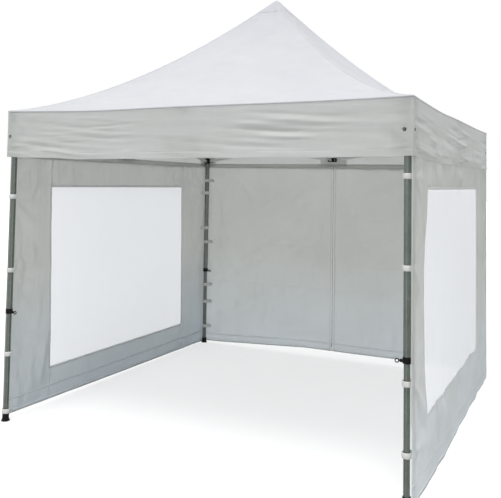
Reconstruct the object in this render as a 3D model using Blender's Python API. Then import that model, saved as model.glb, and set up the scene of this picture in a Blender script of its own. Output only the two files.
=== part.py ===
"""A 3 m by 3 m folding marquee tent, standing open at the front, with three side walls strapped on.

Metres, +Z up. The origin is the centre of the footprint on the ground, the open front faces -Y.
"""

import math

import bmesh
import bpy
from mathutils import Matrix, Vector

# Canopy
HALF = 1.500  # centre line to the outer face of the valance
EAVE_Z = 2.251  # outer edge of the roof
PEAK_Z = 3.299
VALANCE_BOTTOM_Z = 1.913
CLOTH = 0.003  # solid thickness of roof and valance
GAP = 0.0003  # touching pieces keep this distance
OVERCUT = 0.003  # a cutter runs this far past what it cuts
ROOF_LINEAR = 0.25  # share of the rise that is a straight slope, the rest curves
ROOF_POWER = 1.8  # how late the roof steepens towards the peak
ROOF_ROWS = 14
ROOF_TIP = 0.006  # the four panels stop this far from the peak

# Walls
WALL = 0.002
WALL_TOP_Z = 1.951
SIDE_HEM_Z = 0.020
BACK_HEM_Z = 0.050
ZIP_WIDTH = 0.030
ZIP_TOP_Z = 1.905
WINDOW_WIDTH = 1.970
WINDOWS = {
    "left": {"side": -1, "middle_y": -0.015, "bottom": 0.275, "top": 1.695},
    "right": {"side": 1, "middle_y": -0.115, "bottom": 0.400, "top": 1.729},
}

# Legs: hexagonal tubes, sizes across the flats
LEG = 1.459  # centre line to leg axis, on X and on Y
OUTER_AF = 0.040
OUTER_BORE = 0.037
OUTER_BOTTOM_Z = 0.7925
OUTER_TOP_Z = 2.236
INNER_AF = 0.034
INNER_BORE = 0.030
INNER_BOTTOM_Z = 0.0083
INNER_TOP_Z = 1.000
CORNERS = {
    "front_left": (-1, -1),
    "front_right": (1, -1),
    "back_left": (-1, 1),
    "back_right": (1, 1),
}

# Fittings on the legs
COLLAR_AF = 0.046
CLAMP_BOTTOM_Z = 0.768
CLAMP_TOP_Z = 0.804
CLAMP_SLIDE = 0.0008  # clamp's running clearance to the inner leg
SLIDER_BOTTOM_Z = 1.953
SLIDER_TOP_Z = 2.009
BRACKET_BOTTOM_Z = 2.165
BRACKET_HOLE_AF = 0.020  # hole through the bracket's lid
PIN_Z = 0.780
PIN_RADIUS = 0.003
PIN_BORE = 0.0035
PIN_TIP = 0.0185  # leg axis to the pin's inner end
PIN_STICK_OUT = 0.005  # from the end of the boss to the pin's eye
EYE_RADIUS = 0.0045
EYE_WIDTH = 0.005
BOSS_RADIUS = 0.009
BOSS_START = 0.0205  # the boss starts inside the clamp's wall
BOSS_REACH = 0.041  # leg axis to the end of the boss
RING_RADIUS = 0.011
RING_WIRE = 0.0018
FOOT_RADIUS = 0.0305  # clears the walls by 5 mm as the leg shortens
FOOT_EDGE_Z = 0.005  # top of the sole's straight edge
FOOT_SHOULDER = 0.0275
FOOT_SHOULDER_Z = 0.013
FOOT_NECK = 0.0235
FOOT_NECK_Z = 0.024
FOOT_TOP_Z = 0.052
FOOT_FLOOR_Z = 0.008  # floor of the leg's socket

# Scissor trusses
BAR_HEIGHT = 0.026
BAR_LAYER = 0.006  # each bar's middle lies this far to one side of the truss plane
BAR_THICK = 0.0125
LOW_LUG_HEIGHT = 0.036
HIGH_LUG_HEIGHT = 0.038
LUG_REACH = 0.062  # leg axis to the end of a lug
LUG_FLAT_START = 0.0213  # lugs start inside the collar's wall, behind a flat
LUG_EDGE_START = 0.0242  # or behind an edge
PIVOT = 0.048  # leg axis to the truss pivot
LOW_PIVOT_Z = 1.981
HIGH_PIVOT_Z = 2.200
MID_LOW_Z = 1.995
MID_HIGH_Z = 2.212
MID_BLOCK = (0.090, 0.034, 0.040)
MID_BLOCK_SHIFT = 0.004  # the middle fittings reach further into the tent than out of it
HUB_SIZE = 0.076
HUB_HEIGHT = 0.044
HUB_LOW_Z = 2.005
HUB_HIGH_Z = 2.230
HUB_PIVOT = 0.030  # centre line to a bar's end inside a middle fitting or a hub

# Centre mast
MAST_AF = 0.032
CAP_RADIUS = 0.055
CAP_DEPTH = 0.030
CAP_FOOT = 0.55  # share of the cap's radius that its underside has
CAP_RIM = 0.4  # share of the cap's depth that its rim has
CAP_STEPS = 4

# Sides of round pieces
PIN_SIDES = 12
BOSS_SIDES = 16
RING_SIDES = 20
WIRE_SIDES = 8
FOOT_SIDES = 24
CAP_SIDES = 24

# Finishes: colour, roughness and, where it is metal, how metallic it is
ROOF_FABRIC = ((0.78, 0.78, 0.80), 0.75)
VALANCE_FABRIC = ((0.52, 0.53, 0.50), 0.8)
WALL_FABRIC = ((0.42, 0.43, 0.43), 0.8)
WINDOW_FILM = ((0.75, 0.77, 0.80), 0.2)
ZIP_TAPE = ((0.35, 0.36, 0.35), 0.6)
LEG_METAL = ((0.22, 0.24, 0.22), 0.4, 0.8)
TRUSS_METAL = ((0.30, 0.32, 0.30), 0.4, 0.8)
BLACK_PLASTIC = ((0.02, 0.02, 0.02), 0.5)


def material(name, colour, roughness, metallic=0.0):
    """Returns a plain material with the given colour."""
    made = bpy.data.materials.new(name)
    made.use_nodes = True
    shader = made.node_tree.nodes["Principled BSDF"]
    shader.inputs["Base Color"].default_value = (*colour, 1.0)
    shader.inputs["Roughness"].default_value = roughness
    shader.inputs["Metallic"].default_value = metallic
    return made


def to_object(shape, name):
    """Makes an object from a bmesh, with its faces pointing out."""
    bmesh.ops.recalc_face_normals(shape, faces=shape.faces)
    mesh = bpy.data.meshes.new(name)
    shape.to_mesh(mesh)
    shape.free()
    piece = bpy.data.objects.new(name, mesh)
    bpy.context.scene.collection.objects.link(piece)
    return piece


def add(name, shape, finish):
    """Makes one finished object, with its own material, from a bmesh."""
    piece = to_object(shape, name)
    piece.data.materials.append(material(name + "_finish", *finish))


def box(size, centre=(0, 0, 0), turn=None):
    """Returns a box as a bmesh, turned about its own centre before it is placed."""
    shape = bmesh.new()
    bmesh.ops.create_cube(shape, size=1.0)
    bmesh.ops.scale(shape, vec=size, verts=shape.verts)
    if turn:
        bmesh.ops.transform(shape, matrix=turn, verts=shape.verts)
    bmesh.ops.translate(shape, vec=centre, verts=shape.verts)
    return shape


def slab(low, high):
    """Returns the box between two corners."""
    size = [b - a for a, b in zip(low, high)]
    centre = [(a + b) / 2 for a, b in zip(low, high)]
    return box(size, centre)


def cylinder(radius, start, end, sides):
    """Returns a solid round bar between two points."""
    start, end = Vector(start), Vector(end)
    along = end - start
    shape = bmesh.new()
    bmesh.ops.create_cone(
        shape, cap_ends=True, segments=sides, radius1=radius, radius2=radius, depth=along.length
    )
    turn = along.to_track_quat("Z", "Y").to_matrix().to_4x4()
    bmesh.ops.transform(shape, matrix=Matrix.Translation((start + end) / 2) @ turn, verts=shape.verts)
    return shape


def turned(profile, sides, across_flats=False, phase=0.0, closed=True):
    """Returns a solid of revolution about Z with a set number of sides.

    A closed profile makes a ring. An open one has its first and last circles capped. With
    across_flats the profile's first values are widths across the flats, otherwise radii.
    """
    shape = bmesh.new()
    to_radius = 0.5 / math.cos(math.pi / sides) if across_flats else 1.0
    rows = []
    for width, z in profile:
        row = []
        for i in range(sides):
            angle = phase + 2 * math.pi * i / sides
            radius = width * to_radius
            row.append(shape.verts.new((radius * math.cos(angle), radius * math.sin(angle), z)))
        rows.append(row)
    pairs = list(zip(rows, rows[1:]))
    if closed:
        pairs.append((rows[-1], rows[0]))
    else:
        shape.faces.new(rows[0][::-1])
        shape.faces.new(rows[-1])
    for low, high in pairs:
        for i in range(sides):
            j = (i + 1) % sides
            shape.faces.new((low[i], low[j], high[j], high[i]))
    return shape


def hexagon(profile, closed=True):
    """Returns a six-sided turned solid with two flats facing along X."""
    return turned(profile, 6, across_flats=True, phase=math.pi / 6, closed=closed)


def move(shape, offset):
    """Shifts a bmesh and returns it."""
    bmesh.ops.translate(shape, vec=offset, verts=shape.verts)
    return shape


def carve(base, joined=(), cut=()):
    """Joins and cuts solids, all given as bmeshes, and returns the result as a bmesh."""
    body = to_object(base, "body")
    tools = [(shape, "UNION") for shape in joined] + [(shape, "DIFFERENCE") for shape in cut]
    for shape, operation in tools:
        tool = to_object(shape, "tool")
        step = body.modifiers.new(operation.lower(), "BOOLEAN")
        step.operation = operation
        step.solver = "EXACT"
        step.object = tool
        graph = bpy.context.evaluated_depsgraph_get()
        result = bpy.data.meshes.new_from_object(body.evaluated_get(graph))
        body.modifiers.clear()
        body.data = result
        bpy.data.objects.remove(tool)
    merged = bmesh.new()
    merged.from_mesh(body.data)
    bmesh.ops.dissolve_limit(
        merged, angle_limit=math.radians(0.5), verts=merged.verts, edges=merged.edges
    )
    bpy.data.objects.remove(body)
    return merged


def roof_height(distance):
    """Height of the roof's outer face at a distance from the centre line."""
    t = 1 - distance / HALF
    return EAVE_Z + (PEAK_Z - EAVE_Z) * (ROOF_LINEAR * t + (1 - ROOF_LINEAR) * t**ROOF_POWER)


def roof_panel():
    """Returns the front roof panel, a triangle that steepens towards the peak."""
    shape = bmesh.new()
    rows = []
    for i in range(ROOF_ROWS + 1):
        t = i / ROOF_ROWS
        distance = HALF + (ROOF_TIP - HALF) * t
        width = distance - GAP
        top = roof_height(distance)
        row = [
            shape.verts.new((side * width, -distance, z))
            for z in (top, top - CLOTH)
            for side in (-1, 1)
        ]
        rows.append(row)
    for near, far in zip(rows, rows[1:]):
        for a, b in ((0, 1), (1, 3), (3, 2), (2, 0)):
            shape.faces.new((near[a], near[b], far[b], far[a]))
    for row in (rows[0], rows[-1]):
        shape.faces.new((row[0], row[1], row[3], row[2]))
    return shape


def turn_about_z(shape, quarter_turns):
    """Turns a bmesh about the tent's centre line by quarter turns."""
    turn = Matrix.Rotation(quarter_turns * math.pi / 2, 4, "Z")
    bmesh.ops.transform(shape, matrix=turn, verts=shape.verts)
    return shape


def build_canopy():
    """Makes the four roof panels and the valance."""
    for quarter, name in enumerate(("front", "right", "back", "left")):
        add("roof_" + name, turn_about_z(roof_panel(), quarter), ROOF_FABRIC)
    top = EAVE_Z - CLOTH - GAP
    outer, inner = 2 * HALF, 2 * (HALF - CLOTH)
    profile = [(outer, VALANCE_BOTTOM_Z), (outer, top), (inner, top), (inner, VALANCE_BOTTOM_Z)]
    ring = turned(profile, 4, across_flats=True, phase=math.pi / 4)
    add("valance", ring, VALANCE_FABRIC)


def build_side_walls():
    """Makes the left and right walls with their clear windows."""
    inner = HALF - CLOTH - GAP - WALL
    outer = HALF - CLOTH - GAP
    front = -(LEG + OUTER_AF / 2)
    for name, window in WINDOWS.items():
        near, far = sorted((window["side"] * inner, window["side"] * outer))
        panel = slab((near, front, SIDE_HEM_Z), (far, inner - GAP, WALL_TOP_Z))
        low_y = window["middle_y"] - WINDOW_WIDTH / 2
        high_y = window["middle_y"] + WINDOW_WIDTH / 2
        hole = slab((near - OVERCUT, low_y, window["bottom"]), (far + OVERCUT, high_y, window["top"]))
        add("wall_" + name, carve(panel, cut=[hole]), WALL_FABRIC)
        pane = slab(
            (near, low_y + GAP, window["bottom"] + GAP), (far, high_y - GAP, window["top"] - GAP)
        )
        add("window_" + name, pane, WINDOW_FILM)


def build_back_wall():
    """Makes the two halves of the back wall and the zip between them."""
    inner = HALF - CLOTH - GAP - WALL
    outer = HALF - CLOTH - GAP
    seam = ZIP_WIDTH / 2
    left = slab((-outer, inner, BACK_HEM_Z), (-seam - GAP, outer, WALL_TOP_Z))
    right = slab((seam + GAP, inner, BACK_HEM_Z), (outer, outer, WALL_TOP_Z))
    add("back_wall_left", left, WALL_FABRIC)
    add("back_wall_right", right, WALL_FABRIC)
    tape = slab((-seam, inner, BACK_HEM_Z), (seam, outer, ZIP_TOP_Z))
    add("back_zip", tape, ZIP_TAPE)


def lug(x_sign, y_sign, along_x, layer, z, height):
    """Returns the tongue that a truss bar is riveted to.

    It runs from the collar along X or along Y towards the next leg, and lies on one side (layer
    -1 or 1, counted towards the tent's middle) of the truss plane.
    """
    inside = BAR_LAYER + BAR_THICK / 2
    face = BAR_THICK / 2 - BAR_LAYER + GAP
    low, high = sorted((layer * face, layer * inside))
    if along_x:
        xs = sorted((x_sign * (LEG - LUG_FLAT_START), x_sign * (LEG - LUG_REACH)))
        ys = sorted((y_sign * (LEG - low), y_sign * (LEG - high)))
    else:
        xs = sorted((x_sign * (LEG - low), x_sign * (LEG - high)))
        ys = sorted((y_sign * (LEG - LUG_EDGE_START), y_sign * (LEG - LUG_REACH)))
    return slab((xs[0], ys[0], z - height / 2), (xs[1], ys[1], z + height / 2))


def tube(across, bore, low, high):
    """Returns a hexagonal tube between two heights, from its widths across the flats."""
    return hexagon([(across, low), (across, high), (bore, high), (bore, low)])


def build_tubes(name, place):
    """Makes the leg's outer tube and the inner one that slides in it."""
    outer = tube(OUTER_AF, OUTER_BORE, OUTER_BOTTOM_Z, OUTER_TOP_Z)
    add("outer_leg_" + name, move(outer, place), LEG_METAL)
    inner = tube(INNER_AF, INNER_BORE, INNER_BOTTOM_Z, INNER_TOP_Z)
    add("inner_leg_" + name, move(inner, place), LEG_METAL)


def build_foot(name, place):
    """Makes the foot, with the socket that the inner tube stands in."""
    profile = [
        (FOOT_RADIUS, 0.0),
        (FOOT_RADIUS, FOOT_EDGE_Z),
        (FOOT_SHOULDER, FOOT_SHOULDER_Z),
        (FOOT_NECK, FOOT_NECK_Z),
        (FOOT_NECK, FOOT_TOP_Z),
    ]
    body = turned(profile, FOOT_SIDES, closed=False)
    width = INNER_AF + 2 * GAP
    socket = hexagon([(width, FOOT_FLOOR_Z), (width, FOOT_TOP_Z + OVERCUT)], closed=False)
    add("foot_" + name, move(carve(body, cut=[socket]), place), BLACK_PLASTIC)


def build_clamp(name, place, x_sign):
    """Makes the height clamp, with the boss that guides the pull pin."""
    slide = INNER_AF + 2 * CLAMP_SLIDE
    seat = OUTER_AF + 2 * GAP
    shelf = OUTER_BOTTOM_Z - GAP
    clamp = hexagon(
        [
            (COLLAR_AF, CLAMP_BOTTOM_Z),
            (COLLAR_AF, CLAMP_TOP_Z),
            (seat, CLAMP_TOP_Z),
            (seat, shelf),
            (slide, shelf),
            (slide, CLAMP_BOTTOM_Z),
        ]
    )
    start = (-x_sign * BOSS_START, 0, PIN_Z)
    boss = cylinder(BOSS_RADIUS, start, (-x_sign * BOSS_REACH, 0, PIN_Z), BOSS_SIDES)
    past_boss = (-x_sign * (BOSS_REACH + OVERCUT), 0, PIN_Z)
    bore = cylinder(PIN_BORE, (0, 0, PIN_Z), past_boss, PIN_SIDES)
    add("clamp_" + name, move(carve(clamp, joined=[boss], cut=[bore]), place), BLACK_PLASTIC)


def build_pull_pin(name, place, x_sign):
    """Makes the spring pin, with its eye and ring."""
    end = BOSS_REACH + PIN_STICK_OUT
    tip = (-x_sign * PIN_TIP, 0, PIN_Z)
    shaft = cylinder(PIN_RADIUS, tip, (-x_sign * end, 0, PIN_Z), PIN_SIDES)
    near, far = ((-x_sign * end, y, PIN_Z) for y in (EYE_WIDTH / 2, -EYE_WIDTH / 2))
    eye = cylinder(EYE_RADIUS, near, far, PIN_SIDES)
    ring = turned(ring_profile(), RING_SIDES)
    upright = Matrix.Rotation(math.pi / 2, 4, "X")
    bmesh.ops.transform(ring, matrix=upright, verts=ring.verts)
    move(ring, (-x_sign * (end + RING_RADIUS), 0, PIN_Z - RING_WIRE))
    add("pull_pin_" + name, move(carve(shaft, joined=[eye, ring]), place), LEG_METAL)


def build_slider(name, place, x_sign, y_sign):
    """Makes the lower truss bracket, which slides on the outer tube when the tent folds."""
    collar = tube(COLLAR_AF, OUTER_AF + 2 * GAP, SLIDER_BOTTOM_Z, SLIDER_TOP_Z)
    lugs = [
        lug(x_sign, y_sign, along_x, -1, LOW_PIVOT_Z, LOW_LUG_HEIGHT) for along_x in (True, False)
    ]
    add("slider_" + name, carve(move(collar, place), joined=lugs), BLACK_PLASTIC)


def build_top_bracket(name, place, x_sign, y_sign):
    """Makes the upper truss bracket, a lidded cap on the outer tube that carries the eave."""
    edge = LEG + COLLAR_AF / 2 / math.cos(math.pi / 6)
    top = roof_height(edge) - CLOTH - GAP
    lid = OUTER_TOP_Z + GAP
    seat = OUTER_AF + 2 * GAP
    cap = hexagon(
        [
            (COLLAR_AF, BRACKET_BOTTOM_Z),
            (COLLAR_AF, top),
            (BRACKET_HOLE_AF, top),
            (BRACKET_HOLE_AF, lid),
            (seat, lid),
            (seat, BRACKET_BOTTOM_Z),
        ]
    )
    lugs = [
        lug(x_sign, y_sign, along_x, 1, HIGH_PIVOT_Z, HIGH_LUG_HEIGHT) for along_x in (True, False)
    ]
    add("top_bracket_" + name, carve(move(cap, place), joined=lugs), BLACK_PLASTIC)


def build_leg(name, x_sign, y_sign):
    """Makes one leg with everything on it."""
    place = (x_sign * LEG, y_sign * LEG, 0)
    build_tubes(name, place)
    build_foot(name, place)
    build_clamp(name, place, x_sign)
    build_pull_pin(name, place, x_sign)
    build_slider(name, place, x_sign, y_sign)
    build_top_bracket(name, place, x_sign, y_sign)


def ring_profile():
    """Points round the wire of a pull ring."""
    angles = [2 * math.pi * i / WIRE_SIDES for i in range(WIRE_SIDES)]
    return [(RING_RADIUS + RING_WIRE * math.cos(a), RING_WIRE * math.sin(a)) for a in angles]


def bar(start, end, layer):
    """Returns a truss bar in the XZ plane, between two pivots, on one side of the plane."""
    start, end = Vector(start), Vector(end)
    along = end - start
    size = (along.length + BAR_HEIGHT, BAR_THICK, BAR_HEIGHT)
    tilt = Matrix.Rotation(-math.atan2(along.z, along.x), 4, "Y")
    middle = (start + end) / 2
    return box(size, (middle.x, layer * BAR_LAYER, middle.z), tilt)


def bar_overhang(run, rise):
    """How far a bar reaches past its pivot, measured level, when it rises that much over a run."""
    tilt = math.atan2(rise, run)
    return BAR_HEIGHT / 2 * (math.cos(tilt) + math.sin(tilt))


def side_truss():
    """Returns the scissor truss of one side, in the XZ plane, with its two middle fittings."""
    pieces = []
    reach = LEG - PIVOT
    for side in (-1, 1):
        low_leg = (side * reach, 0, LOW_PIVOT_Z)
        high_leg = (side * reach, 0, HIGH_PIVOT_Z)
        pieces.append(bar(low_leg, (side * HUB_PIVOT, 0, MID_HIGH_Z), 1))
        pieces.append(bar(high_leg, (side * HUB_PIVOT, 0, MID_LOW_Z), -1))
    for z in (MID_LOW_Z, MID_HIGH_Z):
        pieces.append(box(MID_BLOCK, (0, MID_BLOCK_SHIFT, z)))
    return carve(pieces[0], joined=pieces[1:])


def build_trusses():
    """Makes the four side trusses."""
    for quarter, name in enumerate(("front", "right", "back", "left")):
        truss = move(side_truss(), (0, -LEG, 0))
        add("truss_" + name, turn_about_z(truss, quarter), TRUSS_METAL)


def build_centre():
    """Makes the inner truss, with its two hubs, and the mast that holds up the peak."""
    hole = MAST_AF + 2 * GAP
    hubs = [box((HUB_SIZE, HUB_SIZE, HUB_HEIGHT), (0, 0, z)) for z in (HUB_LOW_Z, HUB_HIGH_Z)]
    bars = []
    face = LEG - MID_BLOCK_SHIFT - MID_BLOCK[1] / 2
    for quarter in range(4):
        reach = face - GAP - bar_overhang(face, HUB_HIGH_Z - MID_LOW_Z)
        rising = bar((-reach, 0, MID_LOW_Z), (-HUB_PIVOT, 0, HUB_HIGH_Z), -1)
        reach = face - GAP - bar_overhang(face, MID_HIGH_Z - HUB_LOW_Z)
        falling = bar((-reach, 0, MID_HIGH_Z), (-HUB_PIVOT, 0, HUB_LOW_Z), 1)
        bars.append(turn_about_z(rising, quarter))
        bars.append(turn_about_z(falling, quarter))
    floor = HUB_LOW_Z - HUB_HEIGHT / 4
    bore = hexagon([(hole, floor), (hole, HUB_HIGH_Z + HUB_HEIGHT)], closed=False)
    frame = carve(hubs[0], joined=[hubs[1]] + bars, cut=[bore])
    add("inner_truss", frame, TRUSS_METAL)

    seat = CLOTH + GAP
    rim_z = roof_height(CAP_RADIUS) - seat
    profile = [
        (CAP_RADIUS * CAP_FOOT, rim_z - CAP_DEPTH),
        (CAP_RADIUS, rim_z - CAP_DEPTH * CAP_RIM),
    ]
    radii = [CAP_RADIUS * (CAP_STEPS - i) / CAP_STEPS for i in range(CAP_STEPS)]
    profile += [(radius, roof_height(radius) - seat) for radius in [*radii, ROOF_TIP]]
    cap = turned(profile, CAP_SIDES, closed=False)
    mast_top = roof_height(CAP_RADIUS) - CAP_DEPTH / 2
    mast = hexagon([(MAST_AF, floor + GAP), (MAST_AF, mast_top)], closed=False)
    add("mast", carve(mast, joined=[cap]), LEG_METAL)


def main():
    """Builds the whole tent."""
    for piece in list(bpy.data.objects):
        bpy.data.objects.remove(piece)
    build_canopy()
    build_side_walls()
    build_back_wall()
    for name, (x_sign, y_sign) in CORNERS.items():
        build_leg(name, x_sign, y_sign)
    build_trusses()
    build_centre()


main()
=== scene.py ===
"""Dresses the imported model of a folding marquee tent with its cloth, frame, fittings and finishes.

Metres, +Z up. The origin is the centre of the footprint on the ground, the open front faces -Y.
"""

import logging
import math
from dataclasses import dataclass, field
from enum import Enum
from functools import partial
from typing import Any, Callable, Mapping, Sequence

import bmesh
import bpy
import numpy as np
from mathutils import Matrix, Vector


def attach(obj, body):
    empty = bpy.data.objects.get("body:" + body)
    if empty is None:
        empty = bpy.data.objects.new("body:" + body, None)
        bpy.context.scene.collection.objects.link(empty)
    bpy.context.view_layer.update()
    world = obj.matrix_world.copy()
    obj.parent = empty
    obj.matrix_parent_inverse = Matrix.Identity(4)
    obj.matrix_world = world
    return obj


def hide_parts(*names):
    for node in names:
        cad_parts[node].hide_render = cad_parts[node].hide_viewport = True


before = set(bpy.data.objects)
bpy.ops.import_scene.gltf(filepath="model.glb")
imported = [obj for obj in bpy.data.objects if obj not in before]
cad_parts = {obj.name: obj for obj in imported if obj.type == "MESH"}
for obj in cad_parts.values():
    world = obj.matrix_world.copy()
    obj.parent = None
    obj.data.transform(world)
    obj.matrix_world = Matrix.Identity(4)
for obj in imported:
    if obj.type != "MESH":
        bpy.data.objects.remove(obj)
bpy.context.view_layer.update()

log = logging.getLogger("marquee")

Array = np.ndarray
Numbers = Sequence[float]
Surface = Callable[[Array, Array], Array]
Piece = bpy.types.Object
Material = bpy.types.Material
Socket = bpy.types.NodeSocket
Sockets = Mapping[str, Socket]
Tone = tuple[float, float, float]  # red, green and blue
Spot = tuple[float, float]
Triple = tuple[float, float, float]
Drag = tuple[float, float, float, float, float]  # a start and an end, each along and up the cloth, and a size

ROOT = "tent"
LEG = 1.459  # centre line to a leg's axis, on X and on Y
WALL_FACE = 1.4957  # centre line to the middle of a hung wall
CLOTH = 0.0009  # thickness of a sheet of cloth
LEVEL = math.pi / 2  # heading of creases that run along the cloth
ANY_WAY = math.pi
WELD = 0.00002
CRISP = 32.0  # degrees from which an edge of a hard piece shows as crisp
EDGE_WEAR = 0.3  # wear of a solid that has no wear of its own
HEXAGON_WEAR = np.tile((0.0, 0.8, 1.0, 1.0, 0.8, 0.0), 6)  # wear of a hexagon's points, most on its corners
SIGNS = (-1, 1)
UP = np.array([0.0, 0.0, 1.0])
UV = "Cloth"
FACING = "facing"
WEAR = "wear"
VECTOR, FLOAT, COLOUR = "NodeSocketVector", "NodeSocketFloat", "NodeSocketColor"


class Named(Enum):
    """Options whose names are part of the names of pieces."""

    @property
    def label(self) -> str:
        """The option's name in small letters."""
        return self.name.lower()


class Side(Named):
    """A side of the tent: the quarter turns that carry the front to it."""

    FRONT = 0
    RIGHT = 1
    BACK = 2
    LEFT = 3


class Corner(Named):
    """A corner of the tent: the signs of its X and Y."""

    FRONT_LEFT = (-1, -1)
    FRONT_RIGHT = (1, -1)
    BACK_LEFT = (-1, 1)
    BACK_RIGHT = (1, 1)


class Held(Enum):
    """How a sheet is held."""

    STRETCHED = "stretched"
    HUNG = "hung"


def ease(value: Array | float, low: float, high: float) -> Array:
    """Turns a value into a smooth step."""
    t = np.clip((value - low) / (high - low), 0.0, 1.0)
    return t * t * (3.0 - 2.0 * t)


def bell(value: Array | float, middle: float, width: float) -> Array:
    """A smooth bump of height 1 round a middle value."""
    return np.exp(-(((value - middle) / width) ** 2))


def quarter_turned(points: Array, side: Side) -> Array:
    """Carries points from the front of the tent to another side.

    Args:
        points: Points, with X, Y and Z last.
        side: Where they go.

    Returns:
        The turned points.
    """
    x, y, z = points[..., 0], points[..., 1], points[..., 2]
    for _ in range(side.value):
        x, y = -y, x
    return np.stack((x, y, z), axis=-1)


@dataclass(frozen=True)
class Ripples:
    """Soft creases in cloth, as a seeded sum of plane waves.

    Pinched ones have narrow crests and wide flats.
    """

    size: float
    shortest: float
    longest: float
    heading: float = 0.0
    spread: float = ANY_WAY
    count: int = 9
    pinched: bool = False

    def at(self, seed: int, a: Array, b: Array) -> Array:
        """Reads the creases.

        Args:
            seed: Which draw of the creases it is.
            a: Metres along the cloth.
            b: Metres up the cloth.

        Returns:
            Heights, most of them smaller than the creases' size.
        """
        draw = np.random.default_rng(seed)
        total = np.zeros(np.broadcast(a, b).shape)
        for _ in range(self.count):
            angle = self.heading + draw.uniform(-self.spread, self.spread)
            wave = 2.0 * math.pi / draw.uniform(self.shortest, self.longest)
            phase = draw.uniform(0.0, 2.0 * math.pi)
            total = total + np.sin(wave * (a * math.cos(angle) + b * math.sin(angle)) + phase)
        height = total / math.sqrt(self.count)
        return self.size * (height * np.abs(height) if self.pinched else height)


@dataclass(frozen=True)
class Fan:
    """Creases that spread from a point where cloth is pulled, so many to a radian."""

    size: float
    folds: float
    reach: float
    starts: float = 0.01
    full: float = 0.10

    def at(self, a: Array, b: Array, phase: Array | float) -> Array:
        """Reads the creases.

        Args:
            a: Metres from the point, along the cloth.
            b: Metres from the point, up the cloth.
            phase: Turns the fan.

        Returns:
            Heights, and 0 at the point itself.
        """
        distance = np.hypot(a, b)
        waves = np.sin(self.folds * np.arctan2(b, a) + phase)
        return self.size * waves * np.exp(-distance / self.reach) * ease(distance, self.starts, self.full)


@dataclass(frozen=True)
class Ridge:
    """A long crease that cloth is dragged into. It widens on its way and dies out at its ends."""

    gain: float = 1.7
    width: float = 0.036
    bend: float = 0.06
    widening: Spot = (0.6, 1.2)

    def at(self, a: Array, b: Array, drag: Drag) -> Array:
        """Reads one crease.

        Args:
            a: Metres along the cloth.
            b: Metres up the cloth.
            drag: Where it starts, along and up, where it ends, and its size.

        Returns:
            Its heights.
        """
        a0, b0, a1, b1, size = drag
        run_a, run_b = a1 - a0, b1 - b0
        length = float(np.hypot(run_a, run_b))
        along = ((a - a0) * run_a + (b - b0) * run_b) / length
        aside = ((a - a0) * run_b - (b - b0) * run_a) / length
        aside = aside + self.bend * length * np.sin(math.pi * along / length)
        share = np.clip(along / length, 0.0, 1.0)
        spread = self.width * (self.widening[0] + self.widening[1] * share)
        ends = ease(along, -0.02, 0.06) * ease(share, 1.0, 0.35)
        return self.gain * size * bell(aside, 0.0, spread) * ends


@dataclass
class Patch:
    """A grid of points on a piece of cloth.

    Seen from the side that the cloth faces, columns run to the right and rows run up.
    """

    points: Array
    uv: Array
    keep: Array | None = None


def normals(surface: Surface, a: Array, b: Array) -> Array:
    """Unit normals of a surface, on the side that its columns and rows give.

    Args:
        surface: The surface.
        a: Places along it.
        b: Places up it.

    Returns:
        One unit vector for each place.
    """
    step = 0.002
    along = surface(a + step, b) - surface(a - step, b)
    up = surface(a, b + step) - surface(a, b - step)
    facing = np.cross(along, up)
    return facing / np.linalg.norm(facing, axis=-1, keepdims=True)


def region(surface: Surface, a: Numbers, b: Numbers, lift: float = 0.0) -> Patch:
    """Lays a rectangular patch on a surface.

    Args:
        surface: What it lies on.
        a: The columns' places along the surface.
        b: The rows' places up the surface.
        lift: How far the patch stands off the surface.

    Returns:
        The patch, with a UV map in metres.
    """
    across, up = np.meshgrid(np.asarray(a, float), np.asarray(b, float))
    points = surface(across, up)
    if lift:
        points = points + normals(surface, across, up) * lift
    return Patch(points, np.stack((across, up), axis=-1))


def steps(low: float, high: float, spacing: float, extra: Numbers = ()) -> Array:
    """Evenly spaced places between two limits, with some exact places added.

    Args:
        low: The first place.
        high: The last place.
        spacing: How far the even places are apart, at most.
        extra: Places that have to be among them. No even place is too near to one.

    Returns:
        The places in rising order.
    """
    count = max(1, math.ceil((high - low) / spacing))
    exact = sorted({low, high, *(x for x in extra if low < x < high)})
    even = np.linspace(low, high, count + 1)
    return np.array(sorted(exact + [x for x in even if min(abs(x - f) for f in exact) > 0.3 * spacing]))


def put_in_scene(name: str, data: bpy.types.ID) -> Piece:
    """Makes an object of a mesh, a camera or a light and puts it in the scene.

    Args:
        name: The object's name.
        data: Its mesh, camera or light.

    Returns:
        The object.
    """
    piece = bpy.data.objects.new(name, data)
    bpy.context.scene.collection.objects.link(piece)
    return piece


def baked(piece: Piece) -> bpy.types.Mesh:
    """Turns an object with its modifiers into a plain mesh, and takes the modifiers off.

    Args:
        piece: The object.

    Returns:
        The new mesh, which no object has yet.
    """
    graph = bpy.context.evaluated_depsgraph_get()
    mesh = bpy.data.meshes.new_from_object(piece.evaluated_get(graph))
    piece.modifiers.clear()
    return mesh


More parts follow.
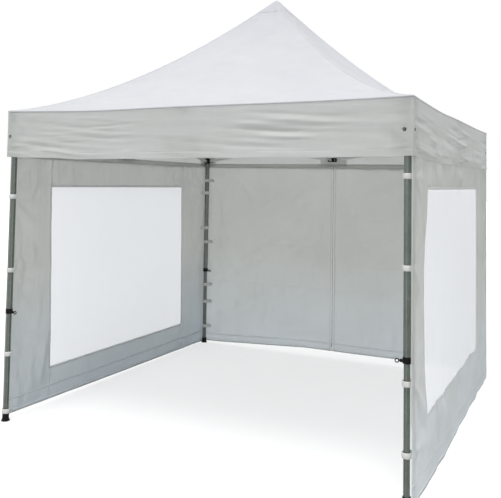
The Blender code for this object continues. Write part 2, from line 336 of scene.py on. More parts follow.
def cloth_piece(
    name: str, patches: Sequence[Patch], finish: Material, thickness: float = CLOTH, grow: float = -1.0
) -> Piece:
    """Sews patches into one piece of cloth with a thickness.

    Args:
        name: The piece's name.
        patches: The grids it is made of. Edges that meet are welded.
        finish: Its material.
        thickness: How thick the cloth is.
        grow: Where the thickness goes: -1 behind the grid, 1 in front of it, 0 to both sides.

    Returns:
        The piece.
    """
    points, faces, corners = [], [], []
    start = 0
    for patch in patches:
        rows, columns = patch.points.shape[:2]
        i, j = np.meshgrid(np.arange(rows - 1), np.arange(columns - 1), indexing="ij")
        chosen = np.ones(i.shape, bool) if patch.keep is None else patch.keep
        i, j = i[chosen], j[chosen]
        around = ((i, j), (i, j + 1), (i + 1, j + 1), (i + 1, j))
        faces.append(np.stack([row * columns + column for row, column in around], axis=1) + start)
        corners.append(np.stack([patch.uv[row, column] for row, column in around], axis=1))
        points.append(patch.points.reshape(-1, 3))
        start += rows * columns
    used, quads = np.unique(np.concatenate(faces), return_inverse=True)
    mesh = bpy.data.meshes.new(name)
    mesh.from_pydata(np.concatenate(points)[used].tolist(), [], quads.reshape(-1, 4).tolist())
    mesh.uv_layers.new(name=UV).data.foreach_set("uv", np.concatenate(corners).ravel())
    welded = bmesh.new()
    welded.from_mesh(mesh)
    bmesh.ops.remove_doubles(welded, verts=welded.verts, dist=WELD)
    for face in welded.faces:
        face.smooth = True
    welded.to_mesh(mesh)
    welded.free()
    mesh.materials.append(finish)
    piece = put_in_scene(name, mesh)
    body = piece.modifiers.new("thickness", "SOLIDIFY")
    body.thickness = thickness
    body.offset = grow
    return piece


def declare(piece: Piece, stands_for: Sequence[str] = (), body: str = ROOT) -> Piece:
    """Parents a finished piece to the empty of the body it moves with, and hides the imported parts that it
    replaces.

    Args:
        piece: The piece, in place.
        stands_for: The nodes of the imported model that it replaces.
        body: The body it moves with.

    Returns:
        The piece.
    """
    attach(piece, body)
    if stands_for:
        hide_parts(*stands_for)
    return piece


class Wiring:
    """Adds nodes to one node tree and links them."""

    def __init__(self, tree: bpy.types.NodeTree) -> None:
        """Keeps the tree that is wired."""
        self.tree = tree

    def node(
        self, kind: str, inputs: Mapping[str | int, Any] | None = None, **settings: Any
    ) -> bpy.types.Node:
        """Adds a node.

        Args:
            kind: Blender's name for the type of node.
            inputs: For some input sockets, a value or the output socket that feeds them.
            settings: The node's own settings.

        Returns:
            The node.
        """
        made = self.tree.nodes.new(kind)
        for key, value in settings.items():
            setattr(made, key, value)
        for key, value in (inputs or {}).items():
            if isinstance(value, Socket):
                self.tree.links.new(value, made.inputs[key])
            else:
                made.inputs[key].default_value = value
        return made

    def out(self, kind: str, inputs: Mapping[str | int, Any] | None = None, **settings: Any) -> Socket:
        """Adds a node and returns its first output."""
        return self.node(kind, inputs, **settings).outputs[0]

    def math(self, operation: str, first: Any, second: Any = 0.0) -> Socket:
        """Adds a Math node and returns its result."""
        return self.out("ShaderNodeMath", {0: first, 1: second}, operation=operation)

    def plus(self, first: Any, second: Any) -> Socket:
        """Adds a Math node that adds two values."""
        return self.math("ADD", first, second)

    def times(self, first: Any, second: Any) -> Socket:
        """Adds a Math node that multiplies two values."""
        return self.math("MULTIPLY", first, second)

    def blend(self, factor: Any, first: Any, second: Any) -> Socket:
        """Adds a colour mix and returns its result."""
        return self.node("ShaderNodeMix", {0: factor, 6: first, 7: second}, data_type="RGBA").outputs[2]

    def span(
        self, value: Any, to_low: float = 0.0, to_high: float = 1.0, low: float = 0.0, high: float = 1.0
    ) -> Socket:
        """Adds a clamped Map Range node from low and high to two other values."""
        return self.out("ShaderNodeMapRange", {0: value, 1: low, 2: high, 3: to_low, 4: to_high})

    def noise(self, vector: Any, scale: Any, detail: float = 3.0, roughness: float = 0.5) -> Socket:
        """Adds a noise texture and returns its height."""
        inputs = {"Vector": vector, "Scale": scale, "Detail": detail, "Roughness": roughness}
        return self.out("ShaderNodeTexNoise", inputs)

    def bump(self, height: Socket) -> Socket:
        """Adds a bump of a height in metres and returns the changed normal."""
        return self.out("ShaderNodeBump", {"Strength": 1.0, "Distance": 1.0, "Height": height})


@dataclass(frozen=True)
class Effect:
    """A shader node group that several materials use. Its first input is a place. It is built once."""

    name: str
    wire: Callable[[Wiring, Sockets], Sequence[Socket]]
    inputs: Mapping[str, str]
    outputs: Mapping[str, str]

    def group(self) -> bpy.types.NodeTree:
        """Builds the group the first time, and finds it again later.

        Returns:
            The shader node group.
        """
        found = bpy.data.node_groups.get(self.name)
        if found:
            return found
        tree = bpy.data.node_groups.new(self.name, "ShaderNodeTree")
        inputs = {"Vector": VECTOR, **self.inputs}
        for in_out, labels in (("INPUT", inputs), ("OUTPUT", self.outputs)):
            for label, kind in labels.items():
                tree.interface.new_socket(name=label, in_out=in_out, socket_type=kind)
        wiring = Wiring(tree)
        results = self.wire(wiring, wiring.node("NodeGroupInput").outputs)
        wiring.node("NodeGroupOutput", dict(enumerate(results)))
        return tree

    def place(self, wiring: Wiring, **inputs: Any) -> Sockets:
        """Puts the effect in a material, with values or sockets for its inputs, and returns its outputs."""
        return wiring.node("ShaderNodeGroup", inputs, node_tree=self.group()).outputs


def wire_weave(wiring: Wiring, given: Sockets) -> list[Socket]:
    """Crossing threads, as bumps and dips in turn.

    Args:
        wiring: The group's wiring.
        given: The group's inputs.

    Returns:
        The height, from -1 to 1.
    """
    turns = wiring.math("DIVIDE", 2.0 * math.pi, given["Thread"])
    inputs = {"Vector": given["Vector"], "Scale": turns}
    scaled = wiring.out("ShaderNodeVectorMath", inputs, operation="SCALE")
    parts = wiring.node("ShaderNodeSeparateXYZ", {0: scaled}).outputs
    return [wiring.times(wiring.math("SINE", parts[0]), wiring.math("SINE", parts[1]))]


def wire_tone(wiring: Wiring, given: Sockets) -> list[Socket]:
    """Cloudy change between two tones, coarse and fine.

    Args:
        wiring: The group's wiring.
        given: The group's inputs.

    Returns:
        The colour, and how far it is towards the second tone.
    """
    finer, coarse_share, fine_share = 9.0, 0.75, 0.25
    coarse = wiring.noise(given["Vector"], given["Scale"], 4.0)
    fine = wiring.noise(given["Vector"], wiring.times(given["Scale"], finer), 2.0)
    cloud = wiring.plus(wiring.times(coarse, coarse_share), wiring.times(fine, fine_share))
    mask = wiring.span(cloud, low=0.35, high=0.65)
    return [wiring.blend(mask, given["First"], given["Second"]), mask]


def wire_crease(wiring: Wiring, given: Sockets) -> list[Socket]:
    """Soft creases that run along one direction, stronger in some places than in others.

    Args:
        wiring: The group's wiring.
        given: The group's inputs.

    Returns:
        The height, from -0.5 to 0.5.
    """
    inputs = {"Vector": given["Vector"], "Rotation": given["Turn"], "Scale": given["Stretch"]}
    creases = wiring.noise(wiring.out("ShaderNodeMapping", inputs), 1.0, 2.5, 0.45)
    patchy = wiring.span(wiring.noise(given["Vector"], 1.3, 1.0), 0.35, 1.0, 0.40, 0.60)
    return [wiring.times(wiring.math("SUBTRACT", creases, 0.5), patchy)]


def wire_painted_bounce_tint(wiring: Wiring, given: Sockets) -> list[Socket]:
    """Painted bounce light: a tint that fades with height above the ground, a little uneven, in place of
    light thrown up from the ground.

    Args:
        wiring: The group's wiring.
        given: The group's inputs.

    Returns:
        The tint's strength.
    """
    height = wiring.node("ShaderNodeSeparateXYZ", {0: given["Vector"]}).outputs[2]
    fade = wiring.span(wiring.math("DIVIDE", height, given["Height"]), 1.0, 0.0)
    uneven = wiring.span(wiring.noise(given["Vector"], 2.4), 0.72, 1.0, 0.35, 0.65)
    return [wiring.times(wiring.times(fade, uneven), given["Amount"])]


def wire_grain(wiring: Wiring, given: Sockets) -> list[Socket]:
    """Fine lines drawn out along one direction.

    Args:
        wiring: The group's wiring.
        given: The group's inputs.

    Returns:
        The height, and the same with more contrast.
    """
    inputs = {0: given["Vector"], 1: given["Stretch"]}
    lines = wiring.noise(wiring.out("ShaderNodeVectorMath", inputs, operation="MULTIPLY"), 1.0, 3.0, 0.6)
    return [lines, wiring.span(lines, low=0.35, high=0.65)]


def wire_scuff(wiring: Wiring, given: Sockets) -> list[Socket]:
    """Rubbed places, mostly along edges.

    Args:
        wiring: The group's wiring.
        given: The group's inputs.

    Returns:
        How much is rubbed away.
    """
    flat_share, edge_base = 0.5, 0.35
    spots = wiring.span(wiring.noise(given["Vector"], given["Scale"], 6.0, 0.7), low=0.46, high=0.66)
    edges = wiring.times(given["Edge"], wiring.plus(spots, edge_base))
    flats = wiring.times(wiring.math("POWER", spots, 4.0), flat_share)
    return [wiring.times(wiring.math("MAXIMUM", edges, flats), given["Amount"])]


WEAVE = Effect("thread_weave", wire_weave, {"Thread": FLOAT}, {"Height": FLOAT})
TONE_INPUTS = {"Scale": FLOAT, "First": COLOUR, "Second": COLOUR}
TONE = Effect("cloudy_tone", wire_tone, TONE_INPUTS, {"Colour": COLOUR, "Mask": FLOAT})
CREASE = Effect("soft_crease", wire_crease, {"Turn": VECTOR, "Stretch": VECTOR}, {"Height": FLOAT})
PAINTED_BOUNCE_TINT = Effect("painted_bounce_tint", wire_painted_bounce_tint, {"Height": FLOAT, "Amount": FLOAT}, {"Mask": FLOAT})
GRAIN = Effect("drawn_grain", wire_grain, {"Stretch": VECTOR}, {"Height": FLOAT, "Mask": FLOAT})
SCUFF_INPUTS = {"Scale": FLOAT, "Edge": FLOAT, "Amount": FLOAT}
SCUFF = Effect("rubbed_scuff", wire_scuff, SCUFF_INPUTS, {"Mask": FLOAT})


def blank_material(name: str) -> tuple[Material, Wiring]:
    """Makes an empty material.

    Args:
        name: Its name.

    Returns:
        The material and its wiring.
    """
    made = bpy.data.materials.new(name)
    made.use_nodes = True
    made.node_tree.nodes.clear()
    return made, Wiring(made.node_tree)


def rgba(colour: Numbers) -> tuple[float, ...]:
    """Adds full alpha to a colour."""
    return (*colour, 1.0)


@dataclass(frozen=True)
class Finish:
    """What every finish has: a name, and two tones that it wanders between."""

    name: str
    first: Tone
    second: Tone

    def tone(self, wiring: Wiring, place: Socket, scale: float) -> Sockets:
        """Wires the change between the two tones."""
        return TONE.place(wiring, Vector=place, Scale=scale, First=rgba(self.first), Second=rgba(self.second))

    def shader(self, wiring: Wiring, place: Socket) -> Socket:
        """Wires the finish's own shader, from a place on the piece."""
        raise NotImplementedError

    def make(self) -> Material:
        """Builds the material.

        Returns:
            The material.
        """
        made, wiring = blank_material(self.name)
        place = wiring.node("ShaderNodeTexCoord").outputs["Object"]
        wiring.node("ShaderNodeOutputMaterial", {"Surface": self.shader(wiring, place)})
        return made


@dataclass(frozen=True)
class Creases:
    """Shaded creases: degrees they are turned, how close they are along and across, and their height."""

    turn: float = 0.0
    stretch: Spot = (6.0, 6.0)
    height: float = 0.0030


@dataclass(frozen=True)
class ClothFinish(Finish):
    """Woven, coated cloth that lets some light through."""

    # painted bounce light: a tone near the ground in place of light thrown up from it; off while the amount
    # is 0
    painted_bounce_tone: Tone = (0.42, 0.41, 0.38)
    painted_bounce_height: float = 0.35
    painted_bounce_amount: float = 0.0
    lets_through: float = 0.3
    thread: float = 0.0011
    thread_height: float = 0.000016
    creases: tuple[Creases, ...] = (Creases(),)
    roughness: Spot = (0.66, 0.80)
    tone_scale: float = 1.6
    specular: float = 0.35

    def shader(self, wiring: Wiring, place: Socket) -> Socket:
        """Wires the cloth.

        Args:
            wiring: The material's wiring.
            place: A place on the piece.

        Returns:
            The shader.
        """
        flat = wiring.out("ShaderNodeUVMap", uv_map=UV)
        tone = self.tone(wiring, place, self.tone_scale)
        # painted bounce light: the colour turns to the bounce tone near the ground
        low = PAINTED_BOUNCE_TINT.place(wiring, Vector=place, Height=self.painted_bounce_height, Amount=self.painted_bounce_amount)
        colour = wiring.blend(low["Mask"], tone["Colour"], rgba(self.painted_bounce_tone))
        weave = WEAVE.place(wiring, Vector=flat, Thread=self.thread)["Height"]
        height = wiring.times(weave, self.thread_height)
        for crease in self.creases:
            sizes = {"Turn": (0.0, 0.0, math.radians(crease.turn)), "Stretch": (*crease.stretch, 1.0)}
            shape = CREASE.place(wiring, Vector=flat, **sizes)["Height"]
            height = wiring.plus(height, wiring.times(shape, crease.height))
        inputs = {
            "Base Color": colour,
            "Roughness": wiring.span(tone["Mask"], *self.roughness),
            "Normal": wiring.bump(height),
            "Specular IOR Level": self.specular,
        }
        front = wiring.out("ShaderNodeBsdfPrincipled", inputs)
        through = wiring.out("ShaderNodeBsdfTranslucent", {"Color": colour})
        return wiring.out("ShaderNodeMixShader", {0: self.lets_through, 1: front, 2: through})


@dataclass(frozen=True)
class FilmFinish(Finish):
    """Milky clear window film, with a painted glow: it gives off light though it is no lamp."""

    cover: float = 0.66
    lets_through: float = 0.42
    roughness: Spot = (0.29, 0.44)
    wave_stretch: Triple = (2.5, 1.2, 1.0)
    wave_height: float = 0.001
    # painted light: the film glows though it is no lamp, so the windows look brighter than the cloth round
    # them
    glow: float = 0.185
    painted_glow_tone: Tone = (0.97, 0.98, 1.0)
    clear_tone: Tone = (0.97, 0.98, 0.98)
    tone_scale: float = 1.1

    def shader(self, wiring: Wiring, place: Socket) -> Socket:
        """Wires the film.

        Args:
            wiring: The material's wiring.
            place: A place on the piece.

        Returns:
            The shader.
        """
        flat = wiring.out("ShaderNodeUVMap", uv_map=UV)
        tone = self.tone(wiring, place, self.tone_scale)
        waves = CREASE.place(wiring, Vector=flat, Stretch=self.wave_stretch)["Height"]
        bump = wiring.bump(wiring.times(waves, self.wave_height))
        inputs = {
            "Base Color": tone["Colour"],
            "Roughness": wiring.span(tone["Mask"], *self.roughness),
            "Normal": bump,
            # painted light: the film's glow
            "Emission Color": rgba(self.painted_glow_tone),
            "Emission Strength": self.glow,
        }
        front = wiring.out("ShaderNodeBsdfPrincipled", inputs)
        through = wiring.out("ShaderNodeBsdfTranslucent", {"Color": tone["Colour"], "Normal": bump})
        milky = wiring.out("ShaderNodeMixShader", {0: self.lets_through, 1: front, 2: through})
        clear = wiring.out("ShaderNodeBsdfTransparent", {"Color": rgba(self.clear_tone)})
        return wiring.out("ShaderNodeMixShader", {0: self.cover, 1: clear, 2: milky})


@dataclass(frozen=True)
class HardFinish(Finish):
    """Coated metal, bare steel or moulded plastic."""

    rubbed: Tone
    metallic: float
    roughness: float
    scuff: float = 0.5
    scuff_scale: float = 28.0
    scuff_roughness: float = 0.12
    stretch: Triple = (300.0, 300.0, 9.0)
    grain_height: float = 0.00002
    grain_roughness: float = 0.07
    tone_scale: float = 9.0
    specular: float = 0.5

    def shader(self, wiring: Wiring, place: Socket) -> Socket:
        """Wires the metal or plastic.

        Args:
            wiring: The material's wiring.
            place: A place on the piece.

        Returns:
            The shader.
        """
        edge = wiring.node("ShaderNodeAttribute", attribute_name=WEAR).outputs["Fac"]
        tone = self.tone(wiring, place, self.tone_scale)
        inputs = {"Scale": self.scuff_scale, "Edge": edge, "Amount": self.scuff}
        scuff = SCUFF.place(wiring, Vector=place, **inputs)["Mask"]
        grain = GRAIN.place(wiring, Vector=place, Stretch=self.stretch)
        low, high = self.roughness - self.grain_roughness, self.roughness + self.grain_roughness
        rough = wiring.plus(wiring.span(grain["Mask"], low, high), wiring.times(scuff, self.scuff_roughness))
        inputs = {
            "Base Color": wiring.blend(scuff, tone["Colour"], rgba(self.rubbed)),
            "Roughness": rough,
            "Normal": wiring.bump(wiring.times(grain["Height"], self.grain_height)),
            "Metallic": self.metallic,
            "Specular IOR Level": self.specular,
        }
        return wiring.out("ShaderNodeBsdfPrincipled", inputs)


def material_of(finish: Finish) -> Any:
    """A field that holds a finish's material."""
    return field(default_factory=finish.make)


@dataclass(frozen=True)
class Finishes:
    """Every finish of the tent, as a material."""

    roof: Material = material_of(ClothFinish(
        "white_roof_cloth", (0.75, 0.75, 0.77), (0.70, 0.705, 0.73),
        lets_through=0.48, tone_scale=1.1, creases=(Creases(0.0, (3.0, 9.0), 0.0085),),
    ))
    valance: Material = material_of(ClothFinish(
        "white_valance_cloth", (0.855, 0.865, 0.85), (0.825, 0.835, 0.815),
        lets_through=0.66, creases=(Creases(3.0, (3.0, 24.0), 0.0060),),
    ))
    wall: Material = material_of(ClothFinish(
        "white_wall_cloth", (0.80, 0.81, 0.79), (0.77, 0.78, 0.76),
        # painted bounce light: bluer cloth near the ground
        painted_bounce_tone=(0.68, 0.745, 0.81), painted_bounce_height=1.05, painted_bounce_amount=0.62, lets_through=0.60,
        creases=(Creases(28.0, (11.0, 3.5), 0.042), Creases(-34.0, (5.0, 2.0), 0.17)),
    ))
    # painted light: a lighter copy of the wall cloth, letting more through, for the walls that get more light
    wall_painted_lighter: Material = material_of(ClothFinish(
        "white_wall_cloth_painted_lighter", (0.825, 0.835, 0.81), (0.795, 0.805, 0.78),
        # painted bounce light: lighter, bluer cloth near the ground
        painted_bounce_tone=(0.93, 0.96, 0.985), painted_bounce_height=1.05, painted_bounce_amount=0.90, lets_through=0.68,
        creases=(Creases(-32.0, (9.0, 2.8), 0.030), Creases(24.0, (4.0, 1.3), 0.15)),
    ))
    # painted light: the seam bands' cloth is much lighter than the wall's, and lets more through, so the
    # shade where they double the cloth does not show
    wall_band_painted_lighter: Material = material_of(ClothFinish(
        "white_wall_band_painted_lighter", (0.975, 0.98, 0.975), (0.965, 0.97, 0.965),
        lets_through=0.86, creases=(Creases(0.0, (30.0, 12.0), 0.0015),),
    ))
    webbing: Material = material_of(ClothFinish(
        "off_white_webbing", (0.86, 0.86, 0.845), (0.80, 0.80, 0.785),
        thread=0.0022, thread_height=0.00012, tone_scale=12.0, creases=(Creases(height=0.0003),),
    ))
    zip_tape: Material = material_of(ClothFinish(
        "white_zip_tape", (0.89, 0.90, 0.88), (0.86, 0.87, 0.85),
        # painted bounce light: lighter, bluer tape near the ground
        painted_bounce_tone=(0.96, 0.98, 0.99), painted_bounce_height=1.05, painted_bounce_amount=0.90, lets_through=0.72,
        thread=0.0016, thread_height=0.00006, tone_scale=10.0, creases=(Creases(height=0.0002),),
    ))
    zip_teeth: Material = material_of(HardFinish(
        "grey_green_zip_teeth", (0.085, 0.09, 0.075), (0.06, 0.065, 0.055), (0.20, 0.21, 0.19),
        metallic=0.0, roughness=0.45, scuff=0.3, stretch=(900.0, 900.0, 900.0),
    ))
    thread: Material = material_of(ClothFinish(
        "white_thread", (0.92, 0.92, 0.91), (0.87, 0.87, 0.86),
        lets_through=0.65, tone_scale=40.0, creases=(Creases(height=0.0),),
    ))
    film: Material = material_of(FilmFinish("milky_window_film", (0.965, 0.97, 0.985), (0.955, 0.96, 0.98)))
    leg: Material = material_of(HardFinish(
        "coated_leg_tube", (0.19, 0.215, 0.19), (0.15, 0.17, 0.15), (0.42, 0.44, 0.43),
        metallic=0.75, roughness=0.34, scuff=0.45,
    ))
    truss: Material = material_of(HardFinish(
        "coated_truss_bar", (0.70, 0.71, 0.69), (0.64, 0.65, 0.63), (0.76, 0.76, 0.75),
        metallic=0.20, roughness=0.38, stretch=(20.0, 20.0, 400.0),
    ))
    plastic: Material = material_of(HardFinish(
        "black_moulded_plastic", (0.003, 0.003, 0.003), (0.005, 0.005, 0.005), (0.024, 0.024, 0.024),
        metallic=0.0, roughness=0.50, scuff=0.4, stretch=(700.0, 700.0, 700.0),
        grain_height=0.00004, specular=0.16,
    ))
    steel: Material = material_of(HardFinish(
        "zinc_plated_steel", (0.56, 0.56, 0.55), (0.46, 0.46, 0.46), (0.70, 0.70, 0.69),
        metallic=1.0, roughness=0.30, scuff=0.3, stretch=(200.0, 200.0, 200.0),
    ))
    dark_steel: Material = material_of(HardFinish(
        "blackened_steel", (0.010, 0.010, 0.010), (0.018, 0.018, 0.018), (0.10, 0.10, 0.095),
        metallic=0.4, roughness=0.45, scuff=0.3, stretch=(240.0, 240.0, 240.0),
    ))
    eyelet: Material = material_of(HardFinish(
        "gunmetal_eyelet", (0.07, 0.07, 0.065), (0.045, 0.045, 0.04), (0.30, 0.30, 0.28),
        metallic=1.0, roughness=0.36, scuff=0.4, stretch=(150.0, 150.0, 150.0),
    ))


@dataclass
class Lines:
    """Polylines and loose points on cloth or metal, each with the direction that it faces."""

    points: list[Array] = field(default_factory=list)
    facing: list[Array] = field(default_factory=list)
    edges: list[tuple[int, int]] = field(default_factory=list)
    count: int = 0

    def path(self, surface: Surface, a: Array, b: Array, lift: float = 0.0) -> None:
        """Adds a line that lies on a surface.

        Args:
            surface: The surface.
            a: The line's places along it.
            b: The line's places up it.
            lift: How far the line stands off the surface.
        """
        a, b = np.broadcast_arrays(np.asarray(a, float), np.asarray(b, float))
        outward = normals(surface, a, b)
        self.points.append(surface(a, b) + outward * lift)
        self.facing.append(outward)
        self.edges += [(self.count + i, self.count + i + 1) for i in range(len(a) - 1)]
        self.count += len(a)

    def spot(self, point: Numbers, facing: Numbers, side: Side = Side.FRONT) -> None:
        """Adds one loose point.

        Args:
            point: Where it is, for the front.
            facing: The direction that it faces there.
            side: The side of the tent that both are carried to.
        """
        self.points.append(quarter_turned(np.array([point], float), side))
        self.facing.append(quarter_turned(np.array([facing], float), side))
        self.count += 1

    def to_object(self) -> Piece:
        """Makes a temporary object of the lines.

        Returns:
            A mesh of points and edges with a facing attribute.
        """
        mesh = bpy.data.meshes.new("lines")
        mesh.from_pydata(np.concatenate(self.points).tolist(), self.edges, [])
        layer = mesh.attributes.new(FACING, "FLOAT_VECTOR", "POINT")
        layer.data.foreach_set("vector", np.concatenate(self.facing).astype(np.float32).ravel())
        return put_in_scene("lines", mesh)


class Repeater:
    """A Geometry Nodes tree that repeats one shape on points or along lines."""

    name = "repeater"
    sizes: Mapping[str, float] = {}
    counts: Mapping[str, int] = {}

    def __init__(self) -> None:
        """Builds the tree with its named inputs."""
        self.tree = bpy.data.node_groups.new(self.name, "GeometryNodeTree")
        self.tree.is_modifier = True
        kinds = {"Geometry": "NodeSocketGeometry"}
        kinds |= dict.fromkeys(self.sizes, "NodeSocketFloat") | dict.fromkeys(self.counts, "NodeSocketInt")
        kinds["Finish"] = "NodeSocketMaterial"
        sockets = self.tree.interface
        self.keys = {
            label: sockets.new_socket(name=label, in_out="INPUT", socket_type=kind).identifier
            for label, kind in kinds.items()
        }
        sockets.new_socket(name="Geometry", in_out="OUTPUT", socket_type=kinds["Geometry"])
        self.wiring = Wiring(self.tree)
        self.given = self.wiring.node("NodeGroupInput").outputs
        whole = self.wiring.out("GeometryNodeRealizeInstances", {0: self.instances()})
        inputs = {"Geometry": whole, "Material": self.given["Finish"]}
        self.wiring.node("NodeGroupOutput", {0: self.wiring.out("GeometryNodeSetMaterial", inputs)})

    def instances(self) -> Socket:
        """Wires the shape and where it is repeated, and returns the instances."""
        raise NotImplementedError

    def facing(self, along: Socket | None = None) -> Socket:
        """Wires a rotation that turns Z to the facing direction.

        Args:
            along: The direction that X turns to first, if any.

        Returns:
            The rotation.
        """
        kind, stored = "FunctionNodeAlignRotationToVector", "GeometryNodeInputNamedAttribute"
        inputs = {"Vector": self.wiring.out(stored, {"Name": FACING}, data_type="FLOAT_VECTOR")}
        if along is None:
            return self.wiring.out(kind, inputs, axis="Z")
        inputs["Rotation"] = self.wiring.out(kind, {"Vector": along}, axis="X")
        return self.wiring.out(kind, inputs, axis="Z", pivot_axis="X")

    def resampled(self) -> Socket:
        """Wires the lines as curves with a point at every pitch.

        Returns:
            The curves.
        """
        inputs = {"Curve": self.wiring.out("GeometryNodeMeshToCurve", {0: self.given["Geometry"]})}
        inputs["Length"] = self.given["Pitch"]
        return self.wiring.out("GeometryNodeResampleCurve", inputs, mode="LENGTH")

    def vector(self, x: Any, y: Any, z: Any) -> Socket:
        """Joins three numbers into a vector."""
        return self.wiring.out("ShaderNodeCombineXYZ", {0: x, 1: y, 2: z})

    def bead(self) -> Socket:
        """Wires a small ball, 1 across, that is stretched to size later."""
        return self.wiring.out("GeometryNodeMeshIcoSphere", {"Radius": 0.5, "Subdivisions": 1})

    def on_points(self, points: Socket, shape: Socket, **inputs: Socket) -> Socket:
        """Wires a copy of a shape on every point, with a Rotation and a Scale if they are given."""
        inputs = {"Points": points, "Instance": shape, **inputs}
        return self.wiring.out("GeometryNodeInstanceOnPoints", inputs)

    def apply(self, name: str, lines: Lines, finish: Material, slot: str, **values: float) -> Piece:
        """Args:
            name: The new piece's name.
            lines: Where the shape goes.
            finish: The new piece's material.
            slot: The name of a material slot; not used.
            values: Sizes and counts that differ from the usual ones, with _ for a space.

        Returns:
            The new piece.
        """
        source = lines.to_object()
        step = source.modifiers.new("repeat", "NODES")
        step.node_group = self.tree
        own = {key.replace("_", " ").capitalize(): value for key, value in values.items()}
        for label, value in {**self.sizes, **self.counts, **own, "Finish": finish}.items():
            step[self.keys[label]] = value
        mesh = baked(source)
        bpy.data.objects.remove(source)
        mesh.name = name
        return declare(put_in_scene(name, mesh))


class Stitches(Repeater):
    """Stitches of thread along seam lines."""

    name = "stitches"
    sizes = {"Pitch": 0.007, "Length": 0.0047, "Width": 0.0012, "Height": 0.0009}
    counts = {"Seed": 11}
    slack = {2: 0.88, 3: 1.10}

    def instances(self) -> Socket:
        """Wires one stretched bead of thread for each stitch.

        Returns:
            The stitches.
        """
        wiring, given = self.wiring, self.given
        inputs = {**self.slack, "Seed": given["Seed"]}
        slack = wiring.node("FunctionNodeRandomValue", inputs, data_type="FLOAT").outputs[1]
        size = self.vector(wiring.times(given["Length"], slack), given["Width"], given["Height"])
        rotation = self.facing(wiring.out("GeometryNodeInputTangent"))
        return self.on_points(self.resampled(), self.bead(), Rotation=rotation, Scale=size)


class ZipTeeth(Repeater):
    """Two rows of coil teeth that mesh along a line."""

    name = "zip_teeth"
    sizes = {"Pitch": 0.0019, "Tooth length": 0.0086, "Tooth width": 0.0019, "Tooth height": 0.0022}
    shift = 0.28

    def instances(self) -> Socket:
        """Wires one rounded tooth at each pitch, to the left and right in turn.

        Returns:
            The teeth.
        """
        wiring, given = self.wiring, self.given
        odd = wiring.math("MODULO", wiring.out("GeometryNodeInputIndex"), 2.0)
        sign = wiring.math("SUBTRACT", wiring.times(odd, 2.0), 1.0)
        shift = wiring.times(wiring.times(given["Tooth length"], self.shift), sign)
        rotation = self.facing(wiring.out("GeometryNodeInputTangent"))
        size = self.vector(given["Tooth width"], given["Tooth length"], given["Tooth height"])
        teeth = self.on_points(self.resampled(), self.bead(), Rotation=rotation, Scale=size)
        inputs = {"Vector": self.vector(0.0, shift, 0.0), "Rotation": rotation}
        across = wiring.out("FunctionNodeRotateVector", inputs)
        inputs = {"Instances": teeth, "Translation": across, "Local Space": False}
        return wiring.out("GeometryNodeTranslateInstances", inputs)


class Eyelets(Repeater):
    """Pressed metal rings round holes in cloth."""

    name = "eyelets"
    sizes = {"Ring radius": 0.0086, "Rim": 0.0028, "Flatness": 0.55}
    points_round = {"Ring radius": 28, "Rim": 8}

    def instances(self) -> Socket:
        """Wires a flattened ring on every point.

        Returns:
            The rings.
        """
        kind = "GeometryNodeCurvePrimitiveCircle"
        path, wire = (
            self.wiring.out(kind, {"Resolution": count, "Radius": self.given[label]})
            for label, count in self.points_round.items()
        )
        ring = self.wiring.out("GeometryNodeCurveToMesh", {"Curve": path, "Profile Curve": wire})
        size = self.vector(1.0, 1.0, self.given["Flatness"])
        return self.on_points(self.given["Geometry"], ring, Rotation=self.facing(), Scale=size)


class Fasteners(Repeater):
    """Bolt heads, nuts or rivets, each on its washer."""

    name = "fasteners"
    sizes = {
        "Head width": 0.0098, "Head height": 0.0042, "Head taper": 0.92,
        "Washer width": 0.0130, "Washer height": 0.0011,
    }
    counts = {"Sides": 6}
    washer_sides = 20
    washer_taper = 0.96

    def disc(self, label: str, sides: Any, taper: Any) -> Socket:
        """Wires a head or a washer.

        Args:
            label: Which of the two: its name in the sizes.
            sides: How many sides it has.
            taper: Its upper width, as a share of the lower one.

        Returns:
            The shape.
        """
        radius = self.wiring.times(self.given[label + " width"], 0.5)
        inputs = {"Vertices": sides, "Radius Top": self.wiring.times(radius, taper), "Radius Bottom": radius}
        return self.wiring.out("GeometryNodeMeshCone", {**inputs, "Depth": self.given[label + " height"]})

    def instances(self) -> Socket:
        """Wires a washer with a head on it at every point.

        Returns:
            The fasteners.
        """
        head = self.disc("Head", self.given["Sides"], self.given["Head taper"])
        rise = self.vector(0.0, 0.0, self.given["Washer height"])
        raised = self.wiring.out("GeometryNodeTransform", {"Geometry": head, "Translation": rise})
        join = self.wiring.node("GeometryNodeJoinGeometry")
        for part in (raised, self.disc("Washer", self.washer_sides, self.washer_taper)):
            self.wiring.tree.links.new(part, join.inputs[0])
        return self.on_points(self.given["Geometry"], join.outputs[0], Rotation=self.facing())


@dataclass
class Workshop:
    """The finishes and repeaters that every sub-assembly uses."""

    finishes: Finishes = field(default_factory=Finishes)
    stitches: Stitches = field(default_factory=Stitches)
    teeth: ZipTeeth = field(default_factory=ZipTeeth)
    eyelets: Eyelets = field(default_factory=Eyelets)
    fasteners: Fasteners = field(default_factory=Fasteners)


@dataclass
class Assembly:
    """A sub-assembly of the tent, made in a workshop."""

    shop: Workshop

    @property
    def finishes(self) -> Finishes:
        """The workshop's finishes."""
        return self.shop.finishes


